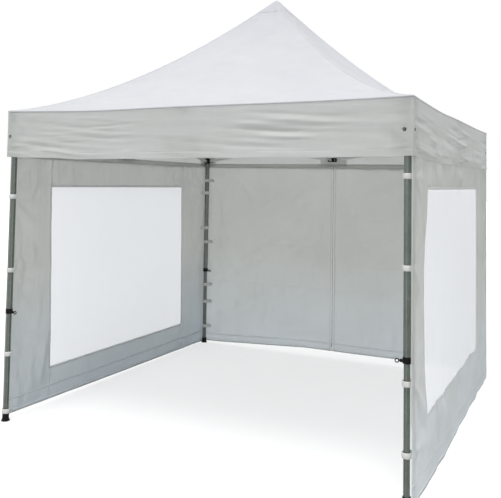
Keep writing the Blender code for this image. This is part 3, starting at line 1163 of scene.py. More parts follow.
@dataclass
class Canopy(Assembly):
    """The roof, one continuous sheet over all four sides, and the deep valance round its eave."""

    half: float = 1.4998
    eave: float = 2.251
    peak: float = 3.299
    even_share: float = 0.18
    steepening: float = 1.68
    blunt: float = 0.010
    corner: float = 0.014
    sag: float = 0.017
    eave_sag_middle: float = 0.0120
    eave_sag_left: float = 0.0075
    lip: float = 0.010
    lip_out: float = 0.0016
    hem_line: float = 1.953
    bottom: float = 1.913
    edge_insets: Spot = (0.034, 0.051)
    eyelet_z: float = 2.062
    hole: float = 0.0073
    tape_width: float = 0.028
    tape_lift: float = 0.0012
    crown: float = 0.125
    crown_lift: float = 0.0017
    patch_rows: Spot = (1.936, 2.052)
    patch_width: float = 0.11
    grid: float = 0.0085
    uv_step: float = 3.1
    soft: Ripples = Ripples(0.0024, 0.25, 0.75)
    level: Ripples = Ripples(0.0016, 0.10, 0.26, LEVEL, 0.35, pinched=True)
    hip_fan: Fan = Fan(0.0026, 15.0, 0.45)
    tight: Ripples = Ripples(0.0034, 0.050, 0.130, LEVEL, 0.12, pinched=True)
    fine: Ripples = Ripples(0.0009, 0.026, 0.050, LEVEL, 0.10, 12, pinched=True)
    slow: Ripples = Ripples(0.0034, 0.45, 1.20, 0.0, 0.3)
    flutter: Ripples = Ripples(0.0022, 0.13, 0.34, 0.0, 0.35, pinched=True)
    patchiness: Ripples = Ripples(2.0, 0.5, 1.4)
    edge_wave: Ripples = Ripples(0.0022, 0.20, 0.60, 0.0, 0.2)
    hem_fan: Fan = Fan(0.0036, 8.0, 0.17)
    eave_fan: Fan = Fan(0.0022, 13.0, 0.22)

    def reach(self, d: Array | float) -> Array | float:
        """Half the length of a side's outline at a distance from the centre line."""
        radius = self.corner * d / self.half
        return d - radius + radius * math.pi / 4

    def outline(self, s: Array, d: Array) -> tuple[Array, Array, Array, Array]:
        """The front side of the rounded square that the canopy is at some height.

        Args:
            s: Metres from the middle of the side.
            d: Distance of the side from the centre line.

        Returns:
            X, Y and the two parts of the outward direction.
        """
        radius = np.maximum(self.corner * d / self.half, 1e-7)
        straight = d - radius
        angle = np.maximum(np.abs(s) - straight, 0.0) / radius
        x = np.sign(s) * (np.minimum(np.abs(s), straight) + radius * np.sin(angle))
        y = -d + radius * (1.0 - np.cos(angle))
        return x, y, np.sign(s) * np.sin(angle), -np.cos(angle)

    def height(self, d: Array) -> Array:
        """Height of the roof, before it sags.

        Args:
            d: Distance from the centre line.

        Returns:
            The heights.
        """
        t = np.maximum(1.0 - np.sqrt(d * d + self.blunt**2) / self.half, 0.0)
        rise = self.even_share * t + (1 - self.even_share) * t**self.steepening
        return self.eave + (self.peak - self.eave) * rise

    def eave_sag(self, share: Array) -> Array:
        """How far the eave hangs down at a share of the way from a side's middle to its corner."""
        return self.eave_sag_middle * (1.0 - share**4) + self.eave_sag_left * bell(share, -0.45, 0.28)

    def roof(self, side: Side, share: Array, d: Array, drop: Array | float = 0.0) -> Array:
        """A place on the roof's outer face.

        Args:
            side: The side of the tent.
            share: From -1 to 1, the share of the way from the side's middle to a hip.
            d: Distance from the centre line.
            drop: How far the edge is turned down.

        Returns:
            The points.
        """
        seed = 40 + side.value
        s = share * self.reach(d)
        x, y, _, _ = self.outline(s, d)
        t = np.clip(1.0 - d / self.half, 0.0, 1.0)
        off_hip = 1.0 - np.abs(share) ** 10
        sink = self.sag * (1.0 - share**2) * 4.0 * t * (1.0 - t) * off_hip
        eave_sink = self.eave_sag(share) * np.exp(-t / 0.12)
        slope = (self.half - d) * 1.15
        folds = self.soft.at(seed, s, d) + self.level.at(seed + 10, s, d)
        folds = folds + self.hip_fan.at(self.reach(d) - np.abs(s), slope, seed + np.sign(s))
        folds = folds + 0.0030 * np.sin(share * 12.0 + seed) * np.exp(-d / 0.30) * ease(d, 0.03, 0.16)
        z = self.height(d) - drop - eave_sink - sink + off_hip * ease(t, 0.0, 0.05) * folds
        return quarter_turned(np.stack(np.broadcast_arrays(x, y, z), axis=-1), side)

    def billow(self, side: Side, s: Array, z: Array) -> Array:
        """How far the valance stands out of its plane.

        Args:
            side: The side of the tent.
            s: Metres from the middle of the side.
            z: Metres above the ground.

        Returns:
            The offsets, outwards.
        """
        seed = 70 + side.value
        way = np.sign(s)
        away = self.reach(self.half) - np.abs(s)
        low = ease(z, self.eave - 0.10, self.bottom)
        free = ease(away, 0.012, 0.075) * ease(z, self.eave - 0.02, self.eave - 0.12)
        patchy = 0.55 + 0.45 * np.tanh(self.patchiness.at(seed + 8, s, z))
        folds = patchy * (self.tight.at(seed, s, z) + self.fine.at(seed + 20, s, z))
        folds = folds + self.slow.at(seed + 4, s, z) * (0.4 + 0.6 * low)
        folds = folds + self.flutter.at(seed + 12, s, z) * low
        folds = folds + self.hem_fan.at(away, z - self.hem_line - 0.02, seed + way)
        folds = folds + self.eave_fan.at(away, self.eave - z, seed + 2.0 * way)
        hem = 0.0006 * ease(z, self.hem_line + 0.002, self.hem_line - 0.002)
        groove = -0.0011 * bell(z, self.hem_line, 0.0035)
        frame_side = -0.0012 - 0.010 * ease(z, 1.958, 2.02)
        return np.maximum(free * folds + hem + groove, frame_side)

    def valance(self, side: Side, s: Array, z: Array) -> Array:
        """A place on the valance's outer face.

        Args:
            side: The side of the tent.
            s: Metres from the middle of the side.
            z: Metres above the ground.

        Returns:
            The points.
        """
        s, z = np.broadcast_arrays(s, z)
        x, y, out_x, out_y = self.outline(s, np.full(s.shape, self.half))
        out = self.billow(side, s, z)
        away = self.reach(self.half) - np.abs(s)
        wave = self.edge_wave.at(90 + side.value, s, 0.0 * z)
        lift = wave * ease(z, self.bottom + 0.10, self.bottom) * ease(away, 0.0, 0.10)
        height = z + lift - self.eave_sag(s / self.reach(self.half))
        return quarter_turned(np.stack((x + out_x * out, y + out_y * out, height), axis=-1), side)

    def along_hip(self, side: Side, sign: int) -> Surface:
        """The roof beside one of a side's two hips."""
        return lambda a, b: self.roof(side, sign + a / self.reach(self.half - b), self.half - b)

    def over_crown(self, side: Side) -> Surface:
        """The roof round the peak, from the crown patch's edge."""
        return lambda share, b: self.roof(side, share, self.crown - b)

    def columns(self, extra: Numbers = ()) -> Array:
        """Places along a side at the eave, close together round the corners.

        Args:
            extra: Places that have to be among them.

        Returns:
            The places.
        """
        straight = self.half - self.corner
        arc = straight + self.corner * math.pi / 4 * np.array([1 / 3, 2 / 3, 1.0])
        middle = steps(-straight, straight, 0.026, [-straight + 0.012, straight - 0.012, *extra])
        return np.concatenate((-arc[::-1], middle, arc))

    def eyelet_places(self) -> Spot:
        """Places of a side's two eyelets, in metres from its middle."""
        return (self.edge_insets[0] - self.half, self.half - self.edge_insets[1])

    def roof_patches(self) -> list[Patch]:
        """The four sides of the roof, from the turned-down edge to the peak.

        Returns:
            The patches.
        """
        share = (self.columns() / self.reach(self.half))[None, :]
        edge = self.half + np.array([self.lip_out, self.lip_out, 0.0012, 0.0002])
        slope = np.concatenate((np.linspace(self.half - 0.006, 0.08, 70), np.linspace(0.062, 0.0, 7)))
        d = np.concatenate((edge, slope))[:, None]
        drop = np.concatenate(([self.lip, self.lip * 0.4, 0.0012, 0.0], np.zeros(len(slope))))[:, None]
        patches = []
        for side in Side:
            along = share * self.reach(d) + side.value * self.uv_step
            up = np.broadcast_to((self.half - d) * 1.2, along.shape)
            patches.append(Patch(self.roof(side, share, d, drop), np.stack((along, up), axis=-1)))
        return patches

    def valance_patches(self) -> list[Patch]:
        """The four sides of the valance, with square holes that the eyelets cover.

        Returns:
            The patches.
        """
        places = self.eyelet_places()
        s = self.columns([place + cut for place in places for cut in (-self.hole, self.hole)])
        rows = [self.hem_line + x for x in (-0.004, -0.0015, 0.0, 0.0015, 0.004)]
        rows += [self.eyelet_z - self.hole, self.eyelet_z + self.hole, self.bottom + 0.002]
        z = steps(self.bottom, self.eave - 0.0035, self.grid, rows)
        s_mid, z_mid = (s[1:] + s[:-1]) / 2, (z[1:] + z[:-1]) / 2
        across = np.any([np.abs(s_mid - place) < self.hole for place in places], axis=0)
        in_hole = across[None, :] & (np.abs(z_mid - self.eyelet_z) < self.hole)[:, None]
        patches = [region(partial(self.valance, side), s, z) for side in Side]
        for side, patch in zip(Side, patches):
            patch.uv[..., 0] += side.value * self.uv_step
            patch.keep = ~in_hole
        return patches

    def hip_strip(self, side: Side, sign: int) -> Patch:
        """One half of the tape over a hip, on the side of the tent that it lies on.

        Args:
            side: The side of the tent.
            sign: Which of the side's two hips.

        Returns:
            The half tape.
        """
        half = self.tape_width / 2
        across = np.sort(-sign * np.array([0.0, 0.003, half / 2, half - 0.002, half]))
        a, b = np.meshgrid(across, self.half - np.linspace(self.half - 0.004, 0.11, 64))
        surface = self.along_hip(side, sign)
        out = normals(surface, a, b)
        out[a == 0.0] = UP
        return Patch(surface(a, b) + out * self.tape_lift, np.stack((np.abs(a), b * 1.3), axis=-1))

    def crown_patch(self, side: Side) -> Patch:
        """One side's share of the patch over the peak.

        Args:
            side: The side of the tent.

        Returns:
            The patch.
        """
        share = (self.columns() / self.reach(self.half))[None, :]
        d = np.array([self.crown, self.crown - 0.003, 0.09, 0.06, 0.035, 0.015, 0.0])[:, None]
        points = self.roof(side, share, d)
        points[..., 2] += self.crown_lift
        return Patch(points, np.stack(np.broadcast_arrays(share * d, d), axis=-1))

    def roof_seams(self) -> Lines:
        """The stitched lines along the hip tapes and round the crown patch.

        Returns:
            The lines.
        """
        seams = Lines()
        up_hip = self.half - np.linspace(self.half - 0.008, 0.14, 130)
        round_crown = np.linspace(-0.97, 0.97, 40)
        for side in Side:
            for sign in SIGNS:
                for inset in (0.0035, self.tape_width / 2 - 0.003):
                    seams.path(self.along_hip(side, sign), -sign * inset, up_hip, 0.0014)
            seams.path(self.over_crown(side), round_crown, 0.006, 0.0030)
        return seams

    def build_roof(self) -> Piece:
        """Makes the roof with its tapes, its crown patch and their stitches.

        Returns:
            The roof.
        """
        roof = cloth_piece("canopy_roof", self.roof_patches(), self.finishes.roof)
        declare(roof, ["roof_" + side.label for side in Side])
        hips = [self.hip_strip(side, sign) for side in Side for sign in SIGNS]
        tapes = cloth_piece("canopy_hip_tapes", hips, self.finishes.roof, 0.0011)
        crown = [self.crown_patch(side) for side in Side]
        cap = cloth_piece("canopy_crown_patch", crown, self.finishes.roof, 0.0012)
        for piece in (tapes, cap):
            declare(piece)
        lines = self.roof_seams()
        seams = self.shop.stitches.apply("canopy_roof_stitches", lines, self.finishes.thread, "roof_fabric")
        return roof

    def inner_patches(self) -> list[Patch]:
        """The cloth patches inside the valance's corners and middles.

        Returns:
            The patches.
        """
        end = self.half - self.corner
        spans = ((-0.14, 0.14), (-end, self.patch_width - end), (end - self.patch_width, end))
        rows, inside = steps(*self.patch_rows, self.grid), -CLOTH - 0.0013
        columns = [steps(*span, 0.012) for span in spans]
        return [region(partial(self.valance, side), s, rows, inside) for side in Side for s in columns]

    def build_valance(self, roof: Piece) -> None:
        """Makes the valance with its inner patches, stitches and eyelets.

        Args:
            roof: What it hangs from; not used.
        """
        valance = cloth_piece("canopy_valance", self.valance_patches(), self.finishes.valance)
        declare(valance, ["valance"])
        inner = cloth_piece("canopy_inner_patches", self.inner_patches(), self.finishes.valance, 0.0008, 1.0)
        declare(inner)
        hem, spots = Lines(), Lines()
        s = np.linspace(-self.half + 0.015, self.half - 0.015, 240)
        for side in Side:
            surface = partial(self.valance, side)
            hem.path(surface, s, self.hem_line, 0.0002)
            hem.path(surface, s, self.eave - self.lip * 0.75, 0.0018)
            for place in self.eyelet_places():
                spots.path(surface, [place], [self.eyelet_z], -CLOTH / 2)
        thread, name = self.finishes.thread, "canopy_valance_stitches"
        seams = self.shop.stitches.apply(name, hem, thread, "valance_fabric")
        rings = self.shop.eyelets.apply("canopy_eyelets", spots, self.finishes.eyelet, "pin_steel")

    def build(self) -> None:
        """Makes the roof, the valance and everything sewn to them."""
        self.build_valance(self.build_roof())
        log.info("canopy: roof, valance, hip tapes, crown patch, stitches and eyelets")


@dataclass(frozen=True)
class Window:
    """A rectangle of window film in a wall, in metres along and up the wall."""

    start: float
    end: float
    bottom: float
    top: float

    def inside(self, a: Array, z: Array) -> Array:
        """How far a place is inside the window's taut surroundings.

        Args:
            a: Metres along the wall.
            z: Metres above the ground.

        Returns:
            The share, 1 over the film.
        """
        along = ease(a, self.start - 0.12, self.start + 0.02) * ease(a, self.end + 0.12, self.end - 0.02)
        up = ease(z, self.bottom - 0.14, self.bottom + 0.02)
        return along * up * ease(z, self.top + 0.10, self.top - 0.04)

    @property
    def size(self) -> Spot:
        """Its width and its height."""
        return self.end - self.start, self.top - self.bottom

    def grown(self, by: float) -> tuple[float, float, float, float]:
        """The rectangle with a border round it, as its start, end, bottom and top."""
        return self.start - by, self.end + by, self.bottom - by, self.top + by


@dataclass
class HungWall(Assembly):
    """One sheet of wall cloth that hangs behind the valance and is strapped to the legs.

    Places on it are metres along the wall and metres above the ground.
    """

    name: str
    side: Side
    node: str
    start: float
    end: float
    hem: float
    seed: int
    hem_places: tuple[Spot, ...]
    drags: tuple[Drag, ...]
    pulls: tuple[Spot, ...] = ()
    window: Window | None = None
    window_node: str = ""
    flare: float = 0.0
    flare_at: float = 0.0
    fold_height: float = 0.008
    tuck: float = 0.0
    slant: float = 0.0
    bow: float = 0.0
    # painted light: True gives the lighter copy of the wall cloth
    thin: bool = True
    creases: tuple[float, ...] = ()
    top: float = 1.951
    skirt: float = 0.120
    skirt_width: float = 0.012
    hem_width: float = 0.028
    head_width: float = 0.040
    frame_width: float = 0.016
    lap: float = 0.003
    film_seam: float = 0.012
    film_thick: float = 0.0005
    band_thick: float = 0.0017
    grid: float = 0.020
    film_grid: float = 0.030
    folds: Ripples = Ripples(1.0, 0.22, 0.60, 0.0, 0.14, pinched=True)
    wander: Ripples = Ripples(0.0055, 0.35, 1.10)
    small: Ripples = Ripples(0.0021, 0.10, 0.26, 0.6, 0.8, 7, pinched=True)
    level: Ripples = Ripples(0.0030, 0.10, 0.24, LEVEL, 0.22, pinched=True)
    broad_fan: Fan = Fan(0.0105, 6.0, 0.34)
    close_fan: Fan = Fan(0.0055, 14.0, 0.42)
    ridge: Ridge = Ridge()

    def creased(self, a: Array, z: Array) -> Array:
        """The sum of the cloth's ripples, pulls and drags.

        Args:
            a: Along the wall.
            z: Up the wall.

        Returns:
            How far they stand out.
        """
        low = ease(z, self.top, self.hem)
        out = self.fold_height * (0.45 + 0.55 * low) * self.folds.at(self.seed, a, z)
        out = out + self.wander.at(self.seed + 1, a, z) + self.small.at(self.seed + 2, a, z)
        out = out + self.level.at(self.seed + 3, a, z) * ease(z, 0.45, 0.10)
        for place, height in self.pulls:
            for fan, turn in ((self.broad_fan, 9.0), (self.close_fan, 5.0)):
                out = out + fan.at(np.abs(a - place), z - height, self.seed + turn * height)
        for drag in self.drags:
            out = out + self.ridge.at(a, z, drag)
        return out

    def offset(self, a: Array, z: Array) -> Array:
        """How far the cloth stands out of its plane, outwards.

        Args:
            a: Along the wall.
            z: Up the wall.

        Returns:
            The offsets.
        """
        out = self.creased(a, z)
        if self.window:
            start = self.window.start
            out = out * (1.0 - 0.86 * self.window.inside(a, z))
            near = ease(a, start + 0.9, start) * ease(z, 1.80, 1.25) * ease(z, 0.30, 0.75)
            out = out + self.bow * 0.35 * near
        out = out * (1.0 - 0.80 * ease(z, 0.42, 0.06))
        for height in self.creases:
            out = out + 0.0016 * bell(z, height, 0.006)
        edge = np.minimum(a - self.start, self.end - a)
        out = out * (0.12 + 0.88 * ease(edge, 0.01, 0.16)) * ease(z, 1.915, 1.80)
        if self.flare:
            out = out + self.flare * bell(a, self.flare_at, 0.75) * ease(z, 0.75, 0.0) ** 1.6
        out = out - self.tuck * ease(a, self.start + 0.050, self.start)
        from_leg = np.minimum(np.abs(a - LEG), np.abs(a + LEG))
        by_leg = -0.0015 - 0.0050 * ease(z, 0.41, 0.47)
        return np.maximum(out, by_leg - 0.012 * ease(from_leg, 0.05, 0.12))

    def placed(self, a: Array, z: Array, out: Array) -> Array:
        """Turns places on the wall into points, drawn along the wall between its edges.

        Args:
            a: Along the wall.
            z: Metres above the ground, before the hem is brought to its own height.
            out: How far they stand out.

        Returns:
            The points.
        """
        hem_height = np.interp(a, *zip(*self.hem_places))
        height = z + (hem_height - self.hem) * ease(z, self.hem + 0.35, self.hem)
        free = ease(np.minimum(a - self.start, self.end - a), 0.0, 0.36)
        bulge = bell(z, 1.05, 0.42) * ease(a, self.start + 1.3, self.start + 0.3)
        slide = free * (self.slant * ease(z, 1.72, 0.27) + self.bow * bulge)
        points = np.stack((a + slide, -(WALL_FACE + out), height), axis=-1)
        return quarter_turned(points, self.side)

    def surface(self, a: Array, z: Array) -> Array:
        """The middle of the cloth."""
        a, z = np.broadcast_arrays(a, z)
        return self.placed(a, z, self.offset(a, z))

    def band(self, a0: float, a1: float, z0: float, z1: float, spacing: float = 0.02) -> Patch:
        """A strip of cloth laid over the wall, from a0 to a1 along it and from z0 to z1 up it."""
        return region(self.surface, steps(a0, a1, spacing), steps(z0, z1, spacing))

    def cloth(self) -> Patch:
        """The wall's own sheet, with its window cut out.

        Returns:
            The patch.
        """
        hole = self.window
        rows = [hole.bottom, hole.top] if hole else []
        rows += [height + shift for height in self.creases for shift in (-0.006, 0.0, 0.006)]
        a = steps(self.start, self.end, self.grid, [hole.start, hole.end] if hole else [])
        z = steps(self.hem, self.top, self.grid, rows)
        patch = region(self.surface, a, z, CLOTH / 2)
        if hole:
            a_mid, z_mid = (a[1:] + a[:-1]) / 2, (z[1:] + z[:-1]) / 2
            across = (a_mid > hole.start) & (a_mid < hole.end)
            up = (z_mid > hole.bottom) & (z_mid < hole.top)
            patch.keep = ~(across[None, :] & up[:, None])
        return patch

    def bands(self) -> list[Patch]:
        """The hem, the head, the skirt's seam, and the window's frame with the seams above and below it.

        Returns:
            The patches.
        """
        left, right = self.start + 0.001, self.end - 0.001
        low, high = self.hem + self.hem_width, self.top - self.head_width
        skirt = (self.skirt, self.skirt + self.skirt_width)
        rows = ((self.hem + 0.0005, low), (high, self.top - 0.001), skirt)
        bands = [self.band(left, right, *row) for row in rows]
        if self.window:
            a0, a1, z0, z1 = self.window.grown(self.frame_width)
            in0, in1, low_in, high_in = self.window.grown(-self.lap)
            strips = [(a0, a1, z0, low_in), (a0, a1, high_in, z1)]
            strips += [(a0, in0, low_in, high_in), (in1, a1, low_in, high_in)]
            for edge in (self.window.start, self.window.end):
                strips += [(edge - 0.006, edge + 0.006, *rise) for rise in ((low, z0), (z1, high))]
            bands += [self.band(*strip) for strip in strips]
        return bands

    def seams(self) -> Lines:
        """The stitched lines of the bands.

        Returns:
            The lines.
        """
        lines = Lines()
        lift = self.band_thick / 2 + 0.0002
        places = np.linspace(self.start + 0.006, self.end - 0.006, 200)
        for height in (self.hem + 0.026, self.skirt + 0.002, self.skirt + 0.010, self.top - 0.037):
            lines.path(self.surface, places, height, lift)
        if self.window:
            for out in (0.003, self.frame_width - 0.003):
                a0, a1, z0, z1 = self.window.grown(out)
                across, up = np.linspace(a0, a1, 130), np.linspace(z0, z1, 100)
                for sign in SIGNS:
                    for a, z in ((across, z0), (across, z1), (a0, up), (a1, up)):
                        lines.path(self.surface, a, z, sign * lift)
        return lines

    def build_window(self, wall: Piece) -> None:
        """Makes the window film.

        Args:
            wall: The wall that it is sewn into; not used.
        """
        patch = self.band(*self.window.grown(self.film_seam), self.film_grid)
        finish = self.finishes.film
        film = cloth_piece(self.name + "_window_film", [patch], finish, self.film_thick, 0.0)
        declare(film, [self.window_node])

    def build(self) -> None:
        """Makes the wall, its window, its seams and its stitches."""
        # painted light: the lighter copy of the wall cloth where it is asked for
        finish = self.finishes.wall_painted_lighter if self.thin else self.finishes.wall
        wall = cloth_piece(self.name, [self.cloth()], finish)
        declare(wall, [self.node])
        # painted light: lightened band cloth hides the shade of the double layer
        finish = self.finishes.wall_band_painted_lighter
        bands = cloth_piece(self.name + "_seam_bands", self.bands(), finish, self.band_thick, 0.0)
        declare(bands)
        name, lines = self.name + "_stitches", self.seams()
        stitches = self.shop.stitches.apply(name, lines, self.finishes.thread, "wall_fabric", pitch=0.008)
        if self.window:
            self.build_window(wall)
        log.info("%s: cloth, seams and stitches%s", self.name, ", window film" if self.window else "")


@dataclass
class Loft:
    """Rows of points that are skinned into a solid.

    Rows have the same number of points. As a ring, the last row joins the first. Otherwise both
    ends are capped.
    """

    rows: list[Array]
    ring: bool = False
    wear: Array | None = None


def unit(angle: float) -> Array:
    """A unit vector at an angle."""
    return np.array([math.cos(angle), math.sin(angle)])


def rounded_hexagon(across: float, radius: float) -> Array:
    """A hexagon with two flats facing along X and round corners.

    Args:
        across: Its width across the flats.
        radius: The corners' radius.

    Returns:
        The outline's points, with some beside the corners that keep the flats flat.
    """
    points, support = [], 0.0008
    middle = (across / 2 - radius) / math.cos(math.pi / 6)
    for direction in np.radians(np.arange(30, 390, 60)):
        centre = middle * unit(direction)
        arc = [centre + radius * unit(direction + turn) for turn in np.radians([-30, -10, 10, 30])]
        before, after = (support * unit(direction + turn) for turn in np.radians([-120, 120]))
        points += [arc[0] + before, *arc, arc[-1] + after]
    return np.array(points)


def circle(radius: float, count: int = 36) -> Array:
    """A circle whose points line up with a rounded hexagon's."""
    angles = np.radians(5.0) + 2.0 * math.pi * np.arange(count) / count
    return radius * np.stack((np.cos(angles), np.sin(angles)), axis=-1)


def rounded_rectangle(width: float, height: float, radius: float) -> Array:
    """A rectangle with round corners.

    Args:
        width: Its width.
        height: Its height.
        radius: The corners' radius.

    Returns:
        The outline's points, round its middle.
    """
    points = []
    for quarter, signs in enumerate(((1, 1), (-1, 1), (-1, -1), (1, -1))):
        centre = np.array([width / 2 - radius, height / 2 - radius]) * signs
        points += [centre + radius * unit(t) for t in np.radians(90 * quarter + np.array([0, 30, 60, 90]))]
    return np.array(points)


def extruded(
    profile: Array, start: Numbers, end: Numbers, chamfer: float = 0.0008, wear: Array | None = None
) -> Loft:
    """A bar with a given section between two points.

    Args:
        profile: The section's outline, first number level, second number as upright as it can be.
        start: Where the bar starts.
        end: Where it ends.
        chamfer: How far both ends are broken.
        wear: How much each point of the section is on an edge.

    Returns:
        The bar.
    """
    start, run = np.array(start, float), np.subtract(end, start)
    length = np.linalg.norm(run)
    along = run / length
    across = np.cross(along, UP)
    across /= np.linalg.norm(across)
    section = profile[:, :1] * across + profile[:, 1:] * np.cross(across, along)
    small = 1.0 - chamfer / np.abs(profile).max()
    rows = ((0.0, small), (chamfer, 1.0), (length - chamfer, 1.0), (length, small))
    return Loft([start + along * distance + size * section for distance, size in rows], wear=wear)


def upright(
    outlines: Sequence[tuple[Array, float]], axis: Spot, ring: bool = True, wear: Array | None = None
) -> Loft:
    """A solid that stands round a vertical axis."""
    rows = [np.column_stack((outline + np.array(axis), np.full(len(outline), z))) for outline, z in outlines]
    return Loft(rows, ring, wear)


def lying(rounds: Sequence[Spot], origin: Numbers, way: int, count: int, ring: bool = False) -> Loft:
    """A turned solid that lies along X.

    Args:
        rounds: How far each row is from the origin, and its radius.
        origin: A point on its axis.
        way: The sign of X that it points to.
        count: How many points a row has.
        ring: Whether the last row joins the first.

    Returns:
        The solid.
    """
    x, *centre = origin
    rows = []
    for reach, radius in rounds:
        rows.append(np.column_stack((np.full(count, x + way * reach), circle(radius, count) + centre)))
    return Loft(rows, ring)


def wire_ring(centre: Numbers, radius: float, wire: float) -> Loft:
    """A wire ring in the XZ plane.

    Args:
        centre: The ring's centre.
        radius: From the centre to the middle of the wire.
        wire: The wire's radius.

    Returns:
        The ring.
    """
    rows = []
    turn = np.radians(np.arange(0, 360, 36))[:, None]
    for angle in np.radians(np.arange(0, 360, 10)):
        out = np.array([math.cos(angle), 0.0, math.sin(angle)])
        section = np.cos(turn) * out + np.sin(turn) * np.array([0.0, 1.0, 0.0])
        rows.append(np.array(centre) + radius * out + wire * section)
    return Loft(rows, ring=True)


def hard_piece(name: str, lofts: Sequence[Loft], finish: Material | None = None) -> Piece:
    """Makes one piece of several solids, with a wear attribute and crisp edges.

    Args:
        name: The piece's name.
        lofts: The solids.
        finish: Its material, if it has one.

    Returns:
        The piece.
    """
    shape = bmesh.new()
    layer = shape.verts.layers.float.new(WEAR)
    for loft in lofts:
        wear = np.full(len(loft.rows[0]), EDGE_WEAR) if loft.wear is None else loft.wear
        grid = [[shape.verts.new(point) for point in row] for row in loft.rows]
        for ring in grid:
            for vert, amount in zip(ring, wear):
                vert[layer] = float(amount)
        made = []
        for low, high in zip(grid, grid[1:] + (grid[:1] if loft.ring else [])):
            quads = zip(low, low[1:] + low[:1], high[1:] + high[:1], high)
            made += [shape.faces.new(quad) for quad in quads]
        if not loft.ring:
            made += [shape.faces.new(grid[0][::-1]), shape.faces.new(grid[-1])]
        bmesh.ops.recalc_face_normals(shape, faces=made)
    for face in shape.faces:
        face.smooth = True
    mesh = bpy.data.meshes.new(name)
    shape.to_mesh(mesh)
    shape.free()
    mesh.set_sharp_from_angle(angle=math.radians(CRISP))
    if finish:
        mesh.materials.append(finish)
    return put_in_scene(name, mesh)


@dataclass
class BackZip(Assembly):
    """The zip between the two halves of the back wall."""

    left: HungWall
    right: HungWall
    width: float = 0.0350
    thick: float = 0.0010
    bottom: float = 0.052
    first_tooth: float = 0.125
    top: float = 1.946
    tape_lift: float = -0.0014
    teeth_lift: float = -0.0027
    pull_depth: float = 0.0061
    slider: Triple = (0.011, 0.014, 0.003)
    tab: Triple = (0.0075, 0.030, 0.0036)
    tab_drop: float = 0.017

    def surface(self, a: Array, z: Array) -> Array:
        """The place between the two halves, which stands out as far as their edges do.

        Args:
            a: Metres along the wall.
            z: Metres above the ground.

        Returns:
            The points.
        """
        a, z = np.broadcast_arrays(a, z)
        share = ease(a, self.right.end, self.left.start)
        from_left = self.left.offset(np.full(a.shape, self.left.start), z)
        from_right = self.right.offset(np.full(a.shape, self.right.end), z)
        return self.left.placed(a, z, from_left * share + from_right * (1.0 - share))

    def build(self) -> None:
        """Makes the tape, the teeth and the pull."""
        columns = np.linspace(-self.width / 2, self.width / 2, 5)
        patch = region(self.surface, columns, steps(self.bottom, self.top, 0.02), self.tape_lift)
        tape = cloth_piece("back_zip_tape", [patch], self.finishes.zip_tape, self.thick, 0.0)
        declare(tape, ["back_zip"])
        line = Lines()
        line.path(self.surface, 0.0, np.linspace(self.first_tooth, self.top - 0.01, 120), self.teeth_lift)
        line.facing[0] = -line.facing[0]
        self.shop.teeth.apply("back_zip_teeth", line, self.finishes.zip_teeth, "zip_tape")
        declare(hard_piece("back_zip_pull", self.pull(), self.finishes.steel))
        log.info("back zip: tape, teeth and pull")

    def pull(self) -> list[Loft]:
        """The slider at the closed zip's lower end, with its tab, on the inner face.

        Returns:
            Both solids.
        """
        _, y, z = self.surface(np.array([0.0]), np.array([self.first_tooth]))[0]
        y -= self.pull_depth
        slider = extruded(rounded_rectangle(*self.slider), (0, y + 0.0040, z), (0, y, z))
        z -= self.tab_drop
        tab = extruded(rounded_rectangle(*self.tab), (0, y - 0.0002, z), (0, y - 0.0018, z))
        return [slider, tab]


@dataclass(frozen=True)
class BarEnds:
    """Where the truss bars are bolted to the legs, and how they pass each other."""

    pivot: float = 0.048
    low: float = 1.981
    high: float = 2.200
    layer: float = 0.006
    thick: float = 0.0125

    @property
    def outside(self) -> float:
        """From the truss plane to a bar's outer face."""
        return self.layer + self.thick / 2


